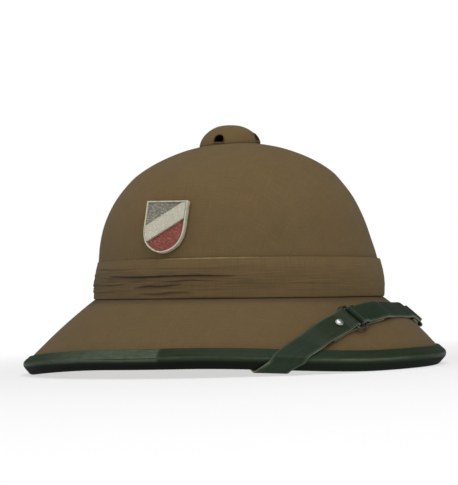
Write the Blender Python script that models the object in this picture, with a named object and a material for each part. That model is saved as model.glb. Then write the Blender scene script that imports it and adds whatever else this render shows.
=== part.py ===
import math

import bpy
import bmesh
from mathutils import Matrix, Vector

# Sizes in metres. The front of the helmet is at +X, the wearer's right side at -Y,
# and the floor that the rim stands on is at Z = 0.
GAP = 0.0003                 # clearance between pieces that lie on each other

CROWN_LENGTH = 0.2274        # outside of the crown at its foot, front to back
CROWN_WIDTH = 0.188
CROWN_HEIGHT = 0.120         # from the foot to the top of the crown
CROWN_WALL = 0.006
CROWN_FORWARD = 0.0076       # the crown's centre lies this far before the brim's
FOOT_HEIGHT = 0.0564         # the crown's foot above the floor, at its centre
FOOT_PITCH = math.radians(1.45)  # the foot dips this much to the front

BRIM_LENGTH = 0.3412         # over the binding
BRIM_WIDTH = 0.274
BRIM_BOARD = 0.0096          # thickness of the cork board
BRIM_SWELL = 0.0014          # how far the middle of the brim's line rises over a straight one
SIDE_LIFT = 0.0062           # the rim's sides stand this far off the floor
LIFT_START = math.radians(30.0)  # the front arc stands on the floor up to here
LIFT_FULL = math.radians(84.0)
LIFT_REAR = math.radians(105.0)
REAR_START = math.radians(162.0) # the rear arc stands on the floor from here

BINDING_LEATHER = 0.0012
BINDING_FLAP = 0.0098        # from the rim's outer edge up the brim
BINDING_CORNER = 0.0020
BINDING_CLEAR = 0.0015       # between the binding and the brim's swell
BINDING_TREAD = 0.0020       # width of the flat that the rim stands on

BAND_HEIGHT = 0.028
BAND_CLOTH = 0.0026          # at the thickest
BAND_EDGE = 0.0016           # at the foot
PLEAT_DEPTH = 0.0011

VENT_HOLE = 0.026
CAP_DIAMETER = 0.048
CAP_HEIGHT = 0.0145          # above the top of the crown
CAP_WALL = 0.0024
CAP_BACK = 0.0045            # the cap's centre lies this far behind the crown's
VENT_WIDTH = 0.0092
VENT_HEIGHT = 0.0068
VENT_SILL = 0.0012

BADGE_WIDTH = 0.0350
BADGE_HEIGHT = 0.0390
BADGE_DEPTH = 0.0034
BADGE_RIM = 0.0011
BADGE_FLOOR = 0.0014         # metal left behind the fields
BADGE_ANGLE = math.radians(-101.0)
BADGE_LEVEL = 0.0505         # the badge's centre above the crown's foot
BADGE_SLANT = math.radians(31.0)
IVORY_LOW = -0.0028          # edges of the middle field, measured from the badge's centre
IVORY_HIGH = 0.0087
GREY_TOP = 0.0024
IVORY_TOP = 0.0037
RED_TOP = 0.0021

STRAP_WIDTH = 0.0165
STRAP_LEATHER = 0.0018
LOOP_WIRE = 0.0020
LOOP_LENGTH = 0.0110         # outside, along the strap
LOOP_CORNER = 0.0022         # bend of the wire at the loop's corners
LOOP_SIDE = 0.0010           # air between the strap's edge and the loop's side
LOOP_RIGHT = 0.0675          # from the front centre to the right loop, along the strap
LOOP_LEFT = 0.0460
FOLD_AIR = 0.0005            # air between the loop's wire and the leather
FOLD_TAIL = 0.0240           # length of the leather folded back
FOLD_CLOSE = 0.0072          # the two layers meet at this distance from the loop's bar
TAIL_CLEAR = 0.0020          # the strap starts to come down this far past the tail's end
TAIL_DROP = 0.0080           # length over which it comes down
FLAP_DROP = 0.0137           # length over which it comes down from the binding to the brim
SKEW_FULL = 0.0059           # up to here from the rim's corner the strap's rows run with the rim
SKEW_END = 0.0216            # and from here they run straight across the strap
ROUTE_TRIM = 0.0116          # left off the ends of the route, where the strap turns inwards
RIVET_PLACE = 0.0145         # from the loop's centre to the rivet
RIVET_HEAD = 0.0062
RIVET_DOME = 0.0016
RIVET_SHANK = 0.0020
ANCHOR_ANGLE = math.radians(84.0)   # to each side of the front
ANCHOR_LEVEL = 0.0150        # the anchor rivet above the crown's foot
ANCHOR_END = 0.0090          # leather above the anchor rivet
WALL_LEAVE = 0.0140          # the strap leaves the inside wall this far below the crown's foot
WALL_AIR = 0.0009            # air between the crown's inside and the strap

PROBE = 0.001                # between points that a direction is worked out from, in metres or radians
ROUND_STEPS = 60             # stations round the helmet
ROUND_SMALL = 12             # sides of rivets and other small round pieces
CROWN_ROWS = 10              # rows up the crown's outside, its inside and the brim
INNER_ROWS = 5
BRIM_ROWS = 4
CAP_STEPS = 24               # stations round the vent cap, and rows up its outside and its inside
CAP_ROWS = 8
CAP_INNER_ROWS = 5
CAP_TOP = 0.985              # last row before the middle of the cap, as a share of its outline
ARCH_STEPS = 8
WIRE_STEPS = 6               # sides of the loops' wire, and steps round each of their corners
BEND_STEPS = 3
FOLD_STEPS = 6               # steps round a fold, and along its tail
TAIL_STEPS = 6
ACROSS_STEPS = 4             # across the strap
WRAP_STEPS = 20              # along the side straps: round the rim, up the brim, and in the hidden turn
TOP_STEPS = 12
TURN_STEPS = 6
FRONT_STEPS = 20             # along the front strap

# Crown outline from foot to top, as shares of its height and of its half width:
# height, reach at the rear, reach at the front
CROWN_OUTLINE = [(0.0, 1.0, 1.0), (0.125, 0.993, 0.994), (0.25, 0.979, 0.972), (0.365, 0.965, 0.934),
                 (0.49, 0.930, 0.889), (0.62, 0.863, 0.823), (0.725, 0.777, 0.743), (0.80, 0.692, 0.668),
                 (0.88, 0.549, 0.532), (0.945, 0.374, 0.365), (0.985, 0.190, 0.190), (1.0, 0.0, 0.0)]

# Vent cap outline from its base to its top, as shares of its radius and height
CAP_OUTLINE = [(1.0, 0.0), (0.985, 0.14), (0.92, 0.36), (0.80, 0.58), (0.60, 0.79),
               (0.36, 0.93), (0.0, 1.0)]

# Pleats of the hat band: height share, first and last angle in degrees, depth share
BAND_PLEATS = [(0.48, -128.0, -70.0, 1.0), (0.21, -112.0, -92.0, 0.7), (0.48, 70.0, 128.0, 0.9),
               (0.21, 150.0, 205.0, 0.8)]
BAND_ROWS = [0.0, 0.16, 0.21, 0.33, 0.43, 0.48, 0.53, 0.75, 1.0]
PLEAT_HALF = 0.05            # half the height of a pleat, as a share of the band's

# Right half of the shield, as shares of its half width and of its height from the top
SHIELD_HALF = [(1.0, 0.0), (1.0, 0.42), (0.98, 0.60), (0.90, 0.74), (0.75, 0.85),
               (0.50, 0.935), (0.22, 0.985)]

# Middle of the strap from under the rim on the right, over the front, to under the rim on the
# left: angle round the helmet in degrees, and the way down from the rim's outer corner (above it
# is less than zero) as a share of the binding's flap
STRAP_ROUTE = [(-69.5, 2.90), (-66.0, 2.10), (-62.3, 1.12), (-58.6, 0.00), (-54.3, -1.00),
               (-47.7, -2.22), (-40.6, -3.26), (-33.0, -3.99), (-25.0, -4.48), (-13.0, -4.88),
               (0.0, -4.84), (11.0, -4.38), (20.5, -3.84), (30.5, -3.36), (39.5, -2.83),
               (47.7, -2.10), (54.3, -1.00), (58.6, 0.00), (62.3, 1.12), (66.0, 2.10),
               (69.5, 2.90)]
ROUTE_FRONT = 10             # row of the route at the front centre
ROUTE_STEPS = 200

# Domed rivet head from its edge to its middle, as shares of its radius and height
RIVET_OUTLINE = [(1.0, 0.0), (0.97, 0.30), (0.76, 0.72), (0.42, 0.95), (0.08, 1.0)]

STANCE = Matrix.Translation((0.0, 0.0, FOOT_HEIGHT)) @ Matrix.Rotation(FOOT_PITCH, 4, "Y")
BINDING_OFFSET = BINDING_LEATHER + GAP
RIM_THICKNESS = BRIM_BOARD + 2.0 * BINDING_OFFSET


def clear_scene():
    for old in list(bpy.data.objects):
        bpy.data.objects.remove(old, do_unlink=True)


def make_material(name, color, roughness, metallic=0.0):
    material = bpy.data.materials.new(name)
    material.use_nodes = True
    shader = material.node_tree.nodes["Principled BSDF"]
    shader.inputs["Base Color"].default_value = (*color, 1.0)
    shader.inputs["Roughness"].default_value = roughness
    shader.inputs["Metallic"].default_value = metallic
    return material


def ease(low, high, value):
    share = min(max((value - low) / (high - low), 0.0), 1.0)
    return share * share * (3.0 - 2.0 * share)


def curve_at(table, share):
    # A smooth curve through the rows of a table
    place = min(max(share, 0.0), 1.0) * (len(table) - 1)
    index = min(int(place), len(table) - 2)
    t = place - index
    rows = [table[min(max(index + k, 0), len(table) - 1)] for k in (-1, 0, 1, 2)]
    result = []
    for a, b, c, d in zip(*rows):
        result.append(0.5 * (2.0 * b + (c - a) * t + (2.0 * a - 5.0 * b + 4.0 * c - d) * t * t
                             + (3.0 * b - 3.0 * c + d - a) * t * t * t))
    return result


def solve(function, target, low, high):
    # Place between low and high where a steadily growing function meets the target
    for _ in range(40):
        middle = 0.5 * (low + high)
        if function(middle) < target:
            low = middle
        else:
            high = middle
    return 0.5 * (low + high)


def link_mesh(name, bm, material, smooth_angle=40.0):
    bmesh.ops.recalc_face_normals(bm, faces=bm.faces)
    mesh = bpy.data.meshes.new(name)
    bm.to_mesh(mesh)
    bm.free()
    mesh.materials.append(material)
    mesh.shade_smooth()
    mesh.set_sharp_from_angle(angle=math.radians(smooth_angle))
    piece = bpy.data.objects.new(name, mesh)
    bpy.context.scene.collection.objects.link(piece)
    return piece


def loft(name, sections, material, closed=False):
    # Skin over a row of sections, each a ring of points; open ends get a strip of faces
    bm = bmesh.new()
    rings = [[bm.verts.new(point) for point in section] for section in sections]
    count = len(rings[0])
    for index in range(len(rings) if closed else len(rings) - 1):
        ring, following = rings[index], rings[(index + 1) % len(rings)]
        for k in range(count):
            after = (k + 1) % count
            bm.faces.new((ring[k], ring[after], following[after], following[k]))
    if not closed:
        for ring in (rings[0], rings[-1]):
            for k in range(count // 2 - 1):
                bm.faces.new((ring[k], ring[k + 1], ring[count - 2 - k], ring[count - 1 - k]))
    return link_mesh(name, bm, material)


def turned(name, profile, frame, material):
    # A round piece from (radius, height) points, closed with flat or domed ends
    sections = []
    for radius, height in profile:
        ring = []
        for k in range(ROUND_SMALL):
            turn = 2.0 * math.pi * k / ROUND_SMALL
            ring.append(frame @ Vector((radius * math.cos(turn), radius * math.sin(turn), height)))
        sections.append(ring)
    return loft(name, sections, material)


def cut(piece, cutter):
    cutter.hide_render = True
    cutter.display_type = "WIRE"
    boolean = piece.modifiers.new("cut by " + cutter.name, "BOOLEAN")
    boolean.operation = "DIFFERENCE"
    boolean.object = cutter


def round_angles():
    return [2.0 * math.pi * k / ROUND_STEPS for k in range(ROUND_STEPS)]


# The crown's surface, in the crown's own frame with its foot at Z = 0

def crown_reach(share, angle):
    height, rear, front = curve_at(CROWN_OUTLINE, share)
    return height, rear + (front - rear) * ease(-1.0, 1.0, math.cos(angle))


def crown_point(share, angle, inset=0.0):
    height, reach = crown_reach(share, angle)
    return Vector((CROWN_FORWARD + (CROWN_LENGTH / 2.0 - inset) * reach * math.cos(angle),
                   (CROWN_WIDTH / 2.0 - inset) * reach * math.sin(angle),
                   (CROWN_HEIGHT - inset) * height))


def crown_wall(angle, height, inset=0.0):
    # Point of the wall at a height; below the foot the wall goes straight down
    share = solve(lambda s: curve_at(CROWN_OUTLINE, s)[0] * CROWN_HEIGHT, max(height, 0.0), 0.0, 1.0)
    reach = crown_reach(share, angle)[1]
    return Vector((CROWN_FORWARD + (CROWN_LENGTH / 2.0 * reach - inset) * math.cos(angle),
                   (CROWN_WIDTH / 2.0 * reach - inset) * math.sin(angle),
                   height))


def crown_top_height(x, y):
    along, aside = (x - CROWN_FORWARD) / (CROWN_LENGTH / 2.0), y / (CROWN_WIDTH / 2.0)
    reach, angle = math.hypot(along, aside), math.atan2(aside, along)
    share = solve(lambda s: -crown_reach(s, angle)[1], -reach, 0.0, 1.0)
    return curve_at(CROWN_OUTLINE, share)[0] * CROWN_HEIGHT


def wall_frame(angle, level, inset=0.0):
    # Axes on the crown: X round it, Y up it, Z out of it, in world space
    origin = crown_wall(angle, level, inset)
    x_axis = (crown_wall(angle + PROBE, level, inset) - crown_wall(angle - PROBE, level, inset)).normalized()
    y_axis = (crown_wall(angle, level + PROBE, inset) - crown_wall(angle, level - PROBE, inset)).normalized()
    z_axis = x_axis.cross(y_axis).normalized()
    y_axis = z_axis.cross(x_axis)
    frame = Matrix((x_axis, y_axis, z_axis)).transposed().to_4x4()
    frame.translation = origin
    return STANCE @ frame


# The brim's surface, in world space

def rim_clearance(angle):
    turn = abs(math.remainder(angle, 2.0 * math.pi))
    return SIDE_LIFT * (ease(LIFT_START, LIFT_FULL, turn) - ease(LIFT_REAR, REAR_START, turn))


def rim_frame(angle):
    # Brim line at an angle: its root on the crown, its outer corner and its own axes
    tangent = Vector((-BRIM_LENGTH * math.sin(angle), BRIM_WIDTH * math.cos(angle), 0.0)).normalized()
    foot = crown_point(0.0, angle)
    root = STANCE @ Vector((foot.x, foot.y, -GAP))
    corner = Vector((BRIM_LENGTH / 2.0 * math.cos(angle), BRIM_WIDTH / 2.0 * math.sin(angle), 0.0))
    for _ in range(8):
        up = (corner - root).cross(tangent).normalized()
        tread_cut = BINDING_TREAD * up.z * math.sqrt(1.0 - up.z * up.z)
        corner.z = rim_clearance(angle) - tread_cut + RIM_THICKNESS * up.z
    out = tangent.cross(up)
    return root, corner, out, up


def free_share(angle):
    # The part of the brim's line above the binding
    root, corner, out, up = rim_frame(angle)
    return 1.0 - (BINDING_FLAP + BINDING_CLEAR) / (corner - root).length


def brim_top(angle, share, lift=0.0):
    # The free part of the brim swells a little; the part under the binding is straight
    root, corner, out, up = rim_frame(angle)
    swell = BRIM_SWELL * math.sin(math.pi * min(share / free_share(angle), 1.0))
    return root.lerp(corner - BINDING_OFFSET * up, share) + (swell + lift) * up


def skin_point(angle, down, lift):
    # Point over the brim and round its bound rim; down is measured from the rim's outer corner
    root, corner, out, up = rim_frame(angle)
    radius = BINDING_CORNER
    quarter = radius * math.pi / 2.0
    face_start = quarter - radius
    face_end = face_start + RIM_THICKNESS - 2.0 * radius
    if down <= -radius:
        share = 1.0 + down / (corner - root).length
        step = BINDING_OFFSET * (1.0 - ease(BINDING_FLAP, BINDING_FLAP + FLAP_DROP, -down))
        return brim_top(angle, share, lift + step)
    if down <= face_start:
        turn = (down + radius) / radius
        center = corner - radius * out - radius * up
        return center + (radius + lift) * (math.sin(turn) * out + math.cos(turn) * up)
    if down <= face_end:
        return corner + lift * out - (radius + down - face_start) * up
    if down <= face_end + quarter:
        turn = (down - face_end) / radius
        center = corner - radius * out - (RIM_THICKNESS - radius) * up
        return center + (radius + lift) * (math.cos(turn) * out - math.sin(turn) * up)
    return corner - (radius + down - face_end - quarter) * out - (RIM_THICKNESS + lift) * up


# The strap's route over the skin

def route_place(share):
    degrees, flaps = curve_at(STRAP_ROUTE, share)
    return math.radians(degrees), flaps * BINDING_FLAP


def measure_route():
    # Length along the route at even shares of its table, zero at the front centre
    marks = [0.0]
    before = skin_point(*route_place(0.0), STRAP_LEATHER)
    for k in range(1, ROUTE_STEPS + 1):
        here = skin_point(*route_place(k / ROUTE_STEPS), STRAP_LEATHER)
        marks.append(marks[-1] + (here - before).length)
        before = here
    front = marks[round(ROUTE_STEPS * ROUTE_FRONT / (len(STRAP_ROUTE) - 1))]
    return [mark - front for mark in marks]


ROUTE_MARKS = measure_route()


def route_share(along):
    for k in range(ROUTE_STEPS):
        if ROUTE_MARKS[k + 1] >= along or k == ROUTE_STEPS - 1:
            span = ROUTE_MARKS[k + 1] - ROUTE_MARKS[k]
            return (k + (along - ROUTE_MARKS[k]) / span) / ROUTE_STEPS


def route_ways(along):
    # Place on the route and its direction: along the rim and down it
    share = route_share(along)
    angle, down = route_place(share)
    ahead, ahead_down = route_place(share + 1.0 / ROUTE_STEPS)
    behind, behind_down = route_place(share - 1.0 / ROUTE_STEPS)
    aside = skin_point(angle + PROBE, down, 0.0) - skin_point(angle - PROBE, down, 0.0)
    spin = aside.length / (2.0 * PROBE)
    way = Vector(((ahead - behind) * spin, ahead_down - behind_down)).normalized()
    return angle, down, way, spin


def strap_point(along, across, lift):
    # Along from the front centre to the left, across towards the rim, lift off the skin
    angle, down, way, spin = route_ways(along)
    return skin_point(angle - across * way.y / spin, down + across * way.x, lift)


def rim_skew(along):
    # Near the rim the rows of the strap run with it, so that each bends over its corners at once
    angle, down, way, spin = route_ways(along)
    near = 1.0 - ease(SKEW_FULL, SKEW_END, -down)
    return -near * way.x / way.y if near > 0.0 else 0.0


def strap_frame(along, lift):
    # Axes on the strap: X along it, Y across towards the rim, Z off the skin
    origin = strap_point(along, 0.0, lift)
    x_axis = (strap_point(along + PROBE, 0.0, lift) - strap_point(along - PROBE, 0.0, lift)).normalized()
    y_axis = (strap_point(along, PROBE, lift) - strap_point(along, -PROBE, lift)).normalized()
    z_axis = (origin - strap_point(along, 0.0, lift - PROBE)).normalized()
    y_axis = z_axis.cross(x_axis).normalized()
    x_axis = y_axis.cross(z_axis)
    frame = Matrix((x_axis, y_axis, z_axis)).transposed().to_4x4()
    frame.translation = origin
    return frame


LAYER = GAP + STRAP_LEATHER / 2.0               # middle of the leather over the skin
SECOND_LAYER = LAYER + STRAP_LEATHER + GAP
FOLD_RADIUS = LOOP_WIRE / 2.0 + FOLD_AIR + STRAP_LEATHER / 2.0
BAR_LEVEL = LAYER + FOLD_RADIUS
BAR_SPAN = (LOOP_LENGTH - LOOP_WIRE) / 2.0


def fold_level(away):
    # Height of the upper layer at a distance from the loop's bar
    return SECOND_LAYER + (BAR_LEVEL + FOLD_RADIUS - SECOND_LAYER) * (1.0 - ease(0.0, FOLD_CLOSE, away))


def over_tail(away):
    # Height of the strap that lies over a folded tail and comes down past its end
    drop = ease(FOLD_TAIL + TAIL_CLEAR, FOLD_TAIL + TAIL_CLEAR + TAIL_DROP, away)
    return LAYER + (fold_level(away) - LAYER) * (1.0 - drop)


def fold_round(bar, way):
    # Leather round a loop's bar, from its lower layer to its upper one; way is the side it bulges to
    points = []
    for k in range(FOLD_STEPS + 1):
        turn = math.pi * k / FOLD_STEPS
        points.append((bar + way * FOLD_RADIUS * math.sin(turn), BAR_LEVEL - FOLD_RADIUS * math.cos(turn)))
    return points


def strap_section(path, index, way):
    # Ring of points round the leather at one place of a path of (along, height) points
    before, after = path[max(index - 1, 0)], path[min(index + 1, len(path) - 1)]
    run, rise = after[0] - before[0], after[1] - before[1]
    size = math.hypot(run, rise) * way
    along, height = path[index]
    skew = rim_skew(along)
    half = STRAP_LEATHER / 2.0
    lower, upper = [], []
    for k in range(ACROSS_STEPS + 1):
        across = STRAP_WIDTH * (k / ACROSS_STEPS - 0.5)
        place = along + skew * across
        lower.append(strap_point(place + rise / size * half, across, height - run / size * half))
        upper.append(strap_point(place - rise / size * half, across, height + run / size * half))
    return lower + upper[::-1]


def anchor_rows(side):
    # The hidden end, down the inside of the crown; side is -1 for the wearer's right
    rows = []
    for level in (ANCHOR_LEVEL + ANCHOR_END, ANCHOR_LEVEL, 0.0, -WALL_LEAVE / 2.0, -WALL_LEAVE):
        row = []
        for lift, order in ((WALL_AIR, 1), (WALL_AIR + STRAP_LEATHER, -1)):
            points = []
            for k in range(ACROSS_STEPS + 1):
                across = STRAP_WIDTH * (k / ACROSS_STEPS - 0.5)
                angle = side * (ANCHOR_ANGLE - across / (CROWN_LENGTH / 2.0))
                points.append(STANCE @ crown_wall(angle, level, CROWN_WALL + lift))
            row += points[::order]
        rows.append(row)
    return rows


def side_strap(name, side, loop, material):
    # From inside the crown, under the brim, round the rim and up to the loop, folded round its bar
    # with its tail underneath
    way = -side
    end = (ROUTE_MARKS[0] if side < 0.0 else ROUTE_MARKS[-1]) + way * ROUTE_TRIM
    bar = loop - way * BAR_SPAN
    wrap = end
    while route_ways(wrap)[1] > -BINDING_CORNER:
        wrap += way * STRAP_LEATHER
    path = [(end + (wrap - end) * k / WRAP_STEPS, LAYER) for k in range(WRAP_STEPS)]
    for k in range(TOP_STEPS):
        away = abs(bar - wrap) * (1.0 - k / TOP_STEPS)
        path.append((bar - way * away, over_tail(away)))
    path += fold_round(bar, way)[::-1]
    path += [(bar - way * FOLD_TAIL * k / TAIL_STEPS, LAYER) for k in range(1, TAIL_STEPS + 1)]
    sections = [strap_section(path, index, way) for index in range(len(path))]
    rows = anchor_rows(side)
    reach = (rows[-1][2] - sections[0][2]).length
    bridge = []
    for k in range(1, TURN_STEPS):
        t = k / TURN_STEPS
        row = []
        for wall, meet, beyond in zip(rows[-1], sections[0], sections[1]):
            leave = Vector((0.0, 0.0, -reach * 0.5))
            arrive = (beyond - meet).normalized() * reach * 0.7
            row.append(wall * (2.0 * t ** 3 - 3.0 * t ** 2 + 1.0) + leave * (t ** 3 - 2.0 * t ** 2 + t)
                       + meet * (3.0 * t ** 2 - 2.0 * t ** 3) + arrive * (t ** 3 - t ** 2))
        bridge.append(row)
    return loft(name, rows + bridge + sections, material)


def front_strap(name, material):
    # Folded round the front bar of both loops, with its ends underneath
    first, last = -LOOP_RIGHT + BAR_SPAN, LOOP_LEFT - BAR_SPAN
    path = [(first + FOLD_TAIL * k / TAIL_STEPS, LAYER) for k in range(TAIL_STEPS, 0, -1)]
    path += fold_round(first, -1.0)
    for k in range(1, FRONT_STEPS):
        along = first + (last - first) * k / FRONT_STEPS
        path.append((along, max(over_tail(along - first), over_tail(last - along))))
    path += fold_round(last, 1.0)[::-1]
    path += [(last - FOLD_TAIL * k / TAIL_STEPS, LAYER) for k in range(1, TAIL_STEPS + 1)]
    sections = [strap_section(path, index, -1.0) for index in range(len(path))]
    return loft(name, sections, material)


def wire_loop(name, place, material):
    # A round wire bent to a rectangle with rounded corners, and to the round of the brim
    half_y = STRAP_WIDTH / 2.0 + LOOP_SIDE + LOOP_WIRE / 2.0
    corner = LOOP_CORNER
    sections = []
    for quarter in range(4):
        for k in range(BEND_STEPS + 1):
            turn = math.pi / 2.0 * (quarter + k / BEND_STEPS)
            sign_x = 1.0 if quarter in (0, 3) else -1.0
            sign_y = 1.0 if quarter in (0, 1) else -1.0
            ring = []
            for j in range(WIRE_STEPS):
                spin = 2.0 * math.pi * j / WIRE_STEPS
                reach = corner + LOOP_WIRE / 2.0 * math.cos(spin)
                ring.append(strap_point(place + sign_x * (BAR_SPAN - corner) + reach * math.cos(turn),
                                        sign_y * (half_y - corner) + reach * math.sin(turn),
                                        BAR_LEVEL + LOOP_WIRE / 2.0 * math.sin(spin)))
            sections.append(ring)
    return loft(name, sections, material, closed=True)


def domed_rivet(name, frame, leather_top, strap, material):
    # Domed head on the leather and a shank through it; frame stands on the surface below
    head, shank, base = RIVET_HEAD / 2.0, RIVET_SHANK / 2.0, leather_top + GAP
    profile = [(shank, GAP), (shank, base)]
    profile += [(head * reach, base + RIVET_DOME * rise) for reach, rise in RIVET_OUTLINE]
    rivet = turned(name, profile, frame, material)
    hole = shank + GAP
    cutter = turned(name + "_hole", [(hole, -GAP * 3.0), (hole, base + RIVET_DOME)], frame, material)
    cut(strap, cutter)
    return rivet


def fold_rivet(name, loop, way, strap, material):
    along = loop - way * RIVET_PLACE
    level = fold_level(RIVET_PLACE - BAR_SPAN) + STRAP_LEATHER / 2.0
    return domed_rivet(name, strap_frame(along, 0.0), level + GAP, strap, material)


def anchor_rivet(name, side, strap, material):
    frame = wall_frame(side * ANCHOR_ANGLE, ANCHOR_LEVEL, CROWN_WALL + WALL_AIR - GAP)
    frame = frame @ Matrix.Rotation(math.pi, 4, "X")
    return domed_rivet(name, frame, GAP + STRAP_LEATHER, strap, material)


def make_crown(material):
    hole_share = solve(lambda s: -crown_reach(s, 0.0)[1] * CROWN_LENGTH, -VENT_HOLE, 0.0, 1.0)
    sections = []
    for angle in round_angles():
        outer = [STANCE @ crown_point(hole_share * k / CROWN_ROWS, angle) for k in range(CROWN_ROWS + 1)]
        inner = [STANCE @ crown_point(hole_share * k / INNER_ROWS, angle, CROWN_WALL)
                 for k in range(INNER_ROWS + 1)]
        sections.append(outer + inner[::-1])
    return loft("crown", sections, material, closed=True)


def make_brim(material):
    sections = []
    for angle in round_angles():
        root, corner, out, up = rim_frame(angle)
        shares = [free_share(angle) * k / BRIM_ROWS for k in range(1, BRIM_ROWS + 1)]
        opening = crown_point(0.0, angle, CROWN_WALL)
        inner_top = STANCE @ Vector((opening.x, opening.y, -GAP))
        edge = corner - BINDING_OFFSET * (up + out)
        top = [inner_top, root] + [brim_top(angle, share) for share in shares] + [edge]
        bottom = [edge - BRIM_BOARD * up]
        bottom += [brim_top(angle, share, -BRIM_BOARD) for share in reversed(shares)]
        inner_bottom = inner_top.copy()
        inner_bottom.z = (root - BRIM_BOARD * up).z
        sections.append(top + bottom + [inner_bottom])
    return loft("brim", sections, material, closed=True)


def make_binding(material):
    sections = []
    radius = BINDING_CORNER
    for angle in round_angles():
        root, corner, out, up = rim_frame(angle)
        clearance = rim_clearance(angle)

        def at(outward, upward):
            return corner + outward * out + upward * up

        flap, skin, depth = BINDING_FLAP, BINDING_LEATHER, RIM_THICKNESS
        level = Vector((out.x, out.y, 0.0)).normalized()
        tread = corner - depth * up
        tread_in = tread + BINDING_TREAD * math.sqrt(1.0 - up.z ** 2) * -out
        tread_in.z = clearance
        tread_out = tread_in + BINDING_TREAD * level
        ring = [at(-flap, 0.0), at(-radius, 0.0), at(-radius * 0.3, -radius * 0.3), at(0.0, -radius),
                tread_out, tread_in, at(-flap, -depth), at(-flap, skin - depth),
                at(-skin, skin - depth), at(-skin, -skin), at(-flap, -skin)]
        sections.append(ring)
    return loft("rim_binding", sections, material, closed=True)


def band_swell(angle, share):
    # Thickness of the band over the crown at a height share, with its pleats pressed in
    thickness = BAND_EDGE + (BAND_CLOTH - BAND_EDGE) * math.sin(math.pi * share)
    degrees = math.degrees(angle) % 360.0
    for height, first, last, depth in BAND_PLEATS:
        turn = (degrees - first) % 360.0
        if turn < last - first:
            fade = math.sin(math.pi * turn / (last - first)) ** 0.5
            near = max(1.0 - abs(share - height) / PLEAT_HALF, 0.0)
            thickness -= PLEAT_DEPTH * depth * fade * near
    return thickness


def make_band(material):
    sections = []
    for angle in round_angles():
        root, corner, out, up = rim_frame(angle)
        outer = []
        for share in BAND_ROWS:
            cloth = band_swell(angle, share)
            outer.append(STANCE @ crown_wall(angle, BAND_HEIGHT * share, -GAP - cloth))
        lower = brim_top(angle, (band_swell(angle, 0.0) + GAP) / (corner - root).length, 3.0 * GAP)
        outer[0].z = lower.z
        inner = [STANCE @ crown_wall(angle, BAND_HEIGHT * share, -GAP) for share in (1.0, 0.5, 0.0)]
        sections.append(outer + inner)
    return loft("hat_band", sections, material, closed=True)


def make_cap(material):
    # A hollow dome on the crown with four arched vents
    center_x = CROWN_FORWARD - CAP_BACK
    top = CROWN_HEIGHT + CAP_HEIGHT
    outer_rows = [k / CAP_ROWS for k in range(CAP_ROWS)] + [CAP_TOP]
    inner_rows = [k / CAP_INNER_ROWS for k in range(CAP_INNER_ROWS)] + [CAP_TOP]
    sections = []
    for inset, shares in ((CAP_WALL, inner_rows[::-1]), (0.0, outer_rows)):
        radius = CAP_DIAMETER / 2.0 - inset
        for share in shares:
            reach, rise = curve_at(CAP_OUTLINE, share)
            ring = []
            for k in range(CAP_STEPS):
                turn = 2.0 * math.pi * k / CAP_STEPS
                x, y = radius * math.cos(turn), radius * math.sin(turn)
                base = crown_top_height(center_x + x, y) + GAP
                height = base + (top - inset - base) * rise
                ring.append(STANCE @ Vector((center_x + x * reach, y * reach, height)))
            sections.append(ring)
    cap = loft("vent_cap", sections, material)
    for name, turn in (("vents_side", 0.0), ("vents_front", math.pi / 2.0)):
        edge_x = center_x + CAP_DIAMETER / 2.0 * math.sin(turn)
        edge_y = CAP_DIAMETER / 2.0 * math.cos(turn)
        sill = crown_top_height(edge_x, edge_y) + GAP + VENT_SILL
        half = VENT_WIDTH / 2.0
        spring = sill + VENT_HEIGHT - half
        arch = [(-half, sill), (half, sill)]
        for k in range(ARCH_STEPS + 1):
            rise = math.pi * k / ARCH_STEPS
            arch.append((half * math.cos(rise), spring + half * math.sin(rise)))
        arch.append((-half, (sill + spring) / 2.0))
        spin = STANCE @ Matrix.Translation((center_x, 0.0, 0.0)) @ Matrix.Rotation(turn, 4, "Z")
        ends = [[spin @ Vector((x, y, z)) for x, z in arch] for y in (-CAP_DIAMETER, CAP_DIAMETER)]
        cut(cap, loft(name, ends, material))
    return cap


# The badge, on axes of its own: X to the front, Y up, Z out of the crown

def shield_outline(inset):
    half, height = BADGE_WIDTH / 2.0 - inset, BADGE_HEIGHT - 2.0 * inset
    right = [(half * reach, height * (0.5 - drop)) for reach, drop in SHIELD_HALF]
    left = [(-x, y) for x, y in reversed(right)]
    return right + [(0.0, -height / 2.0)] + left


def slant_height(point):
    return point[1] * math.cos(BADGE_SLANT) - point[0] * math.sin(BADGE_SLANT)


def clip_outline(points, low, high):
    # Part of an outline between two slanting lines
    def keep(outline, limit, sign):
        kept = []
        for index, point in enumerate(outline):
            before = outline[index - 1]
            here = sign * (slant_height(point) - limit)
            last = sign * (slant_height(before) - limit)
            if (here > 0.0) != (last > 0.0):
                share = last / (last - here)
                kept.append(tuple(a + (b - a) * share for a, b in zip(before, point)))
            if here > 0.0:
                kept.append(point)
        return kept

    return keep(keep(points, low, 1.0), high, -1.0)


def badge_frame():
    frame = wall_frame(BADGE_ANGLE, BADGE_LEVEL)
    return frame @ Matrix.Translation((0.0, 0.0, GAP))


def prism(name, layers, material):
    # Flat outlines at heights, skinned together, with a flat face on each end
    bm = bmesh.new()
    frame = badge_frame()
    rings = [[bm.verts.new(frame @ Vector((x, y, height))) for x, y in outline] for outline, height in layers]
    for ring, following in zip(rings, rings[1:]):
        for k in range(len(ring)):
            after = (k + 1) % len(ring)
            bm.faces.new((ring[k], ring[after], following[after], following[k]))
    bm.faces.new(rings[0])
    bm.faces.new(rings[-1])
    return link_mesh(name, bm, material)


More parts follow.
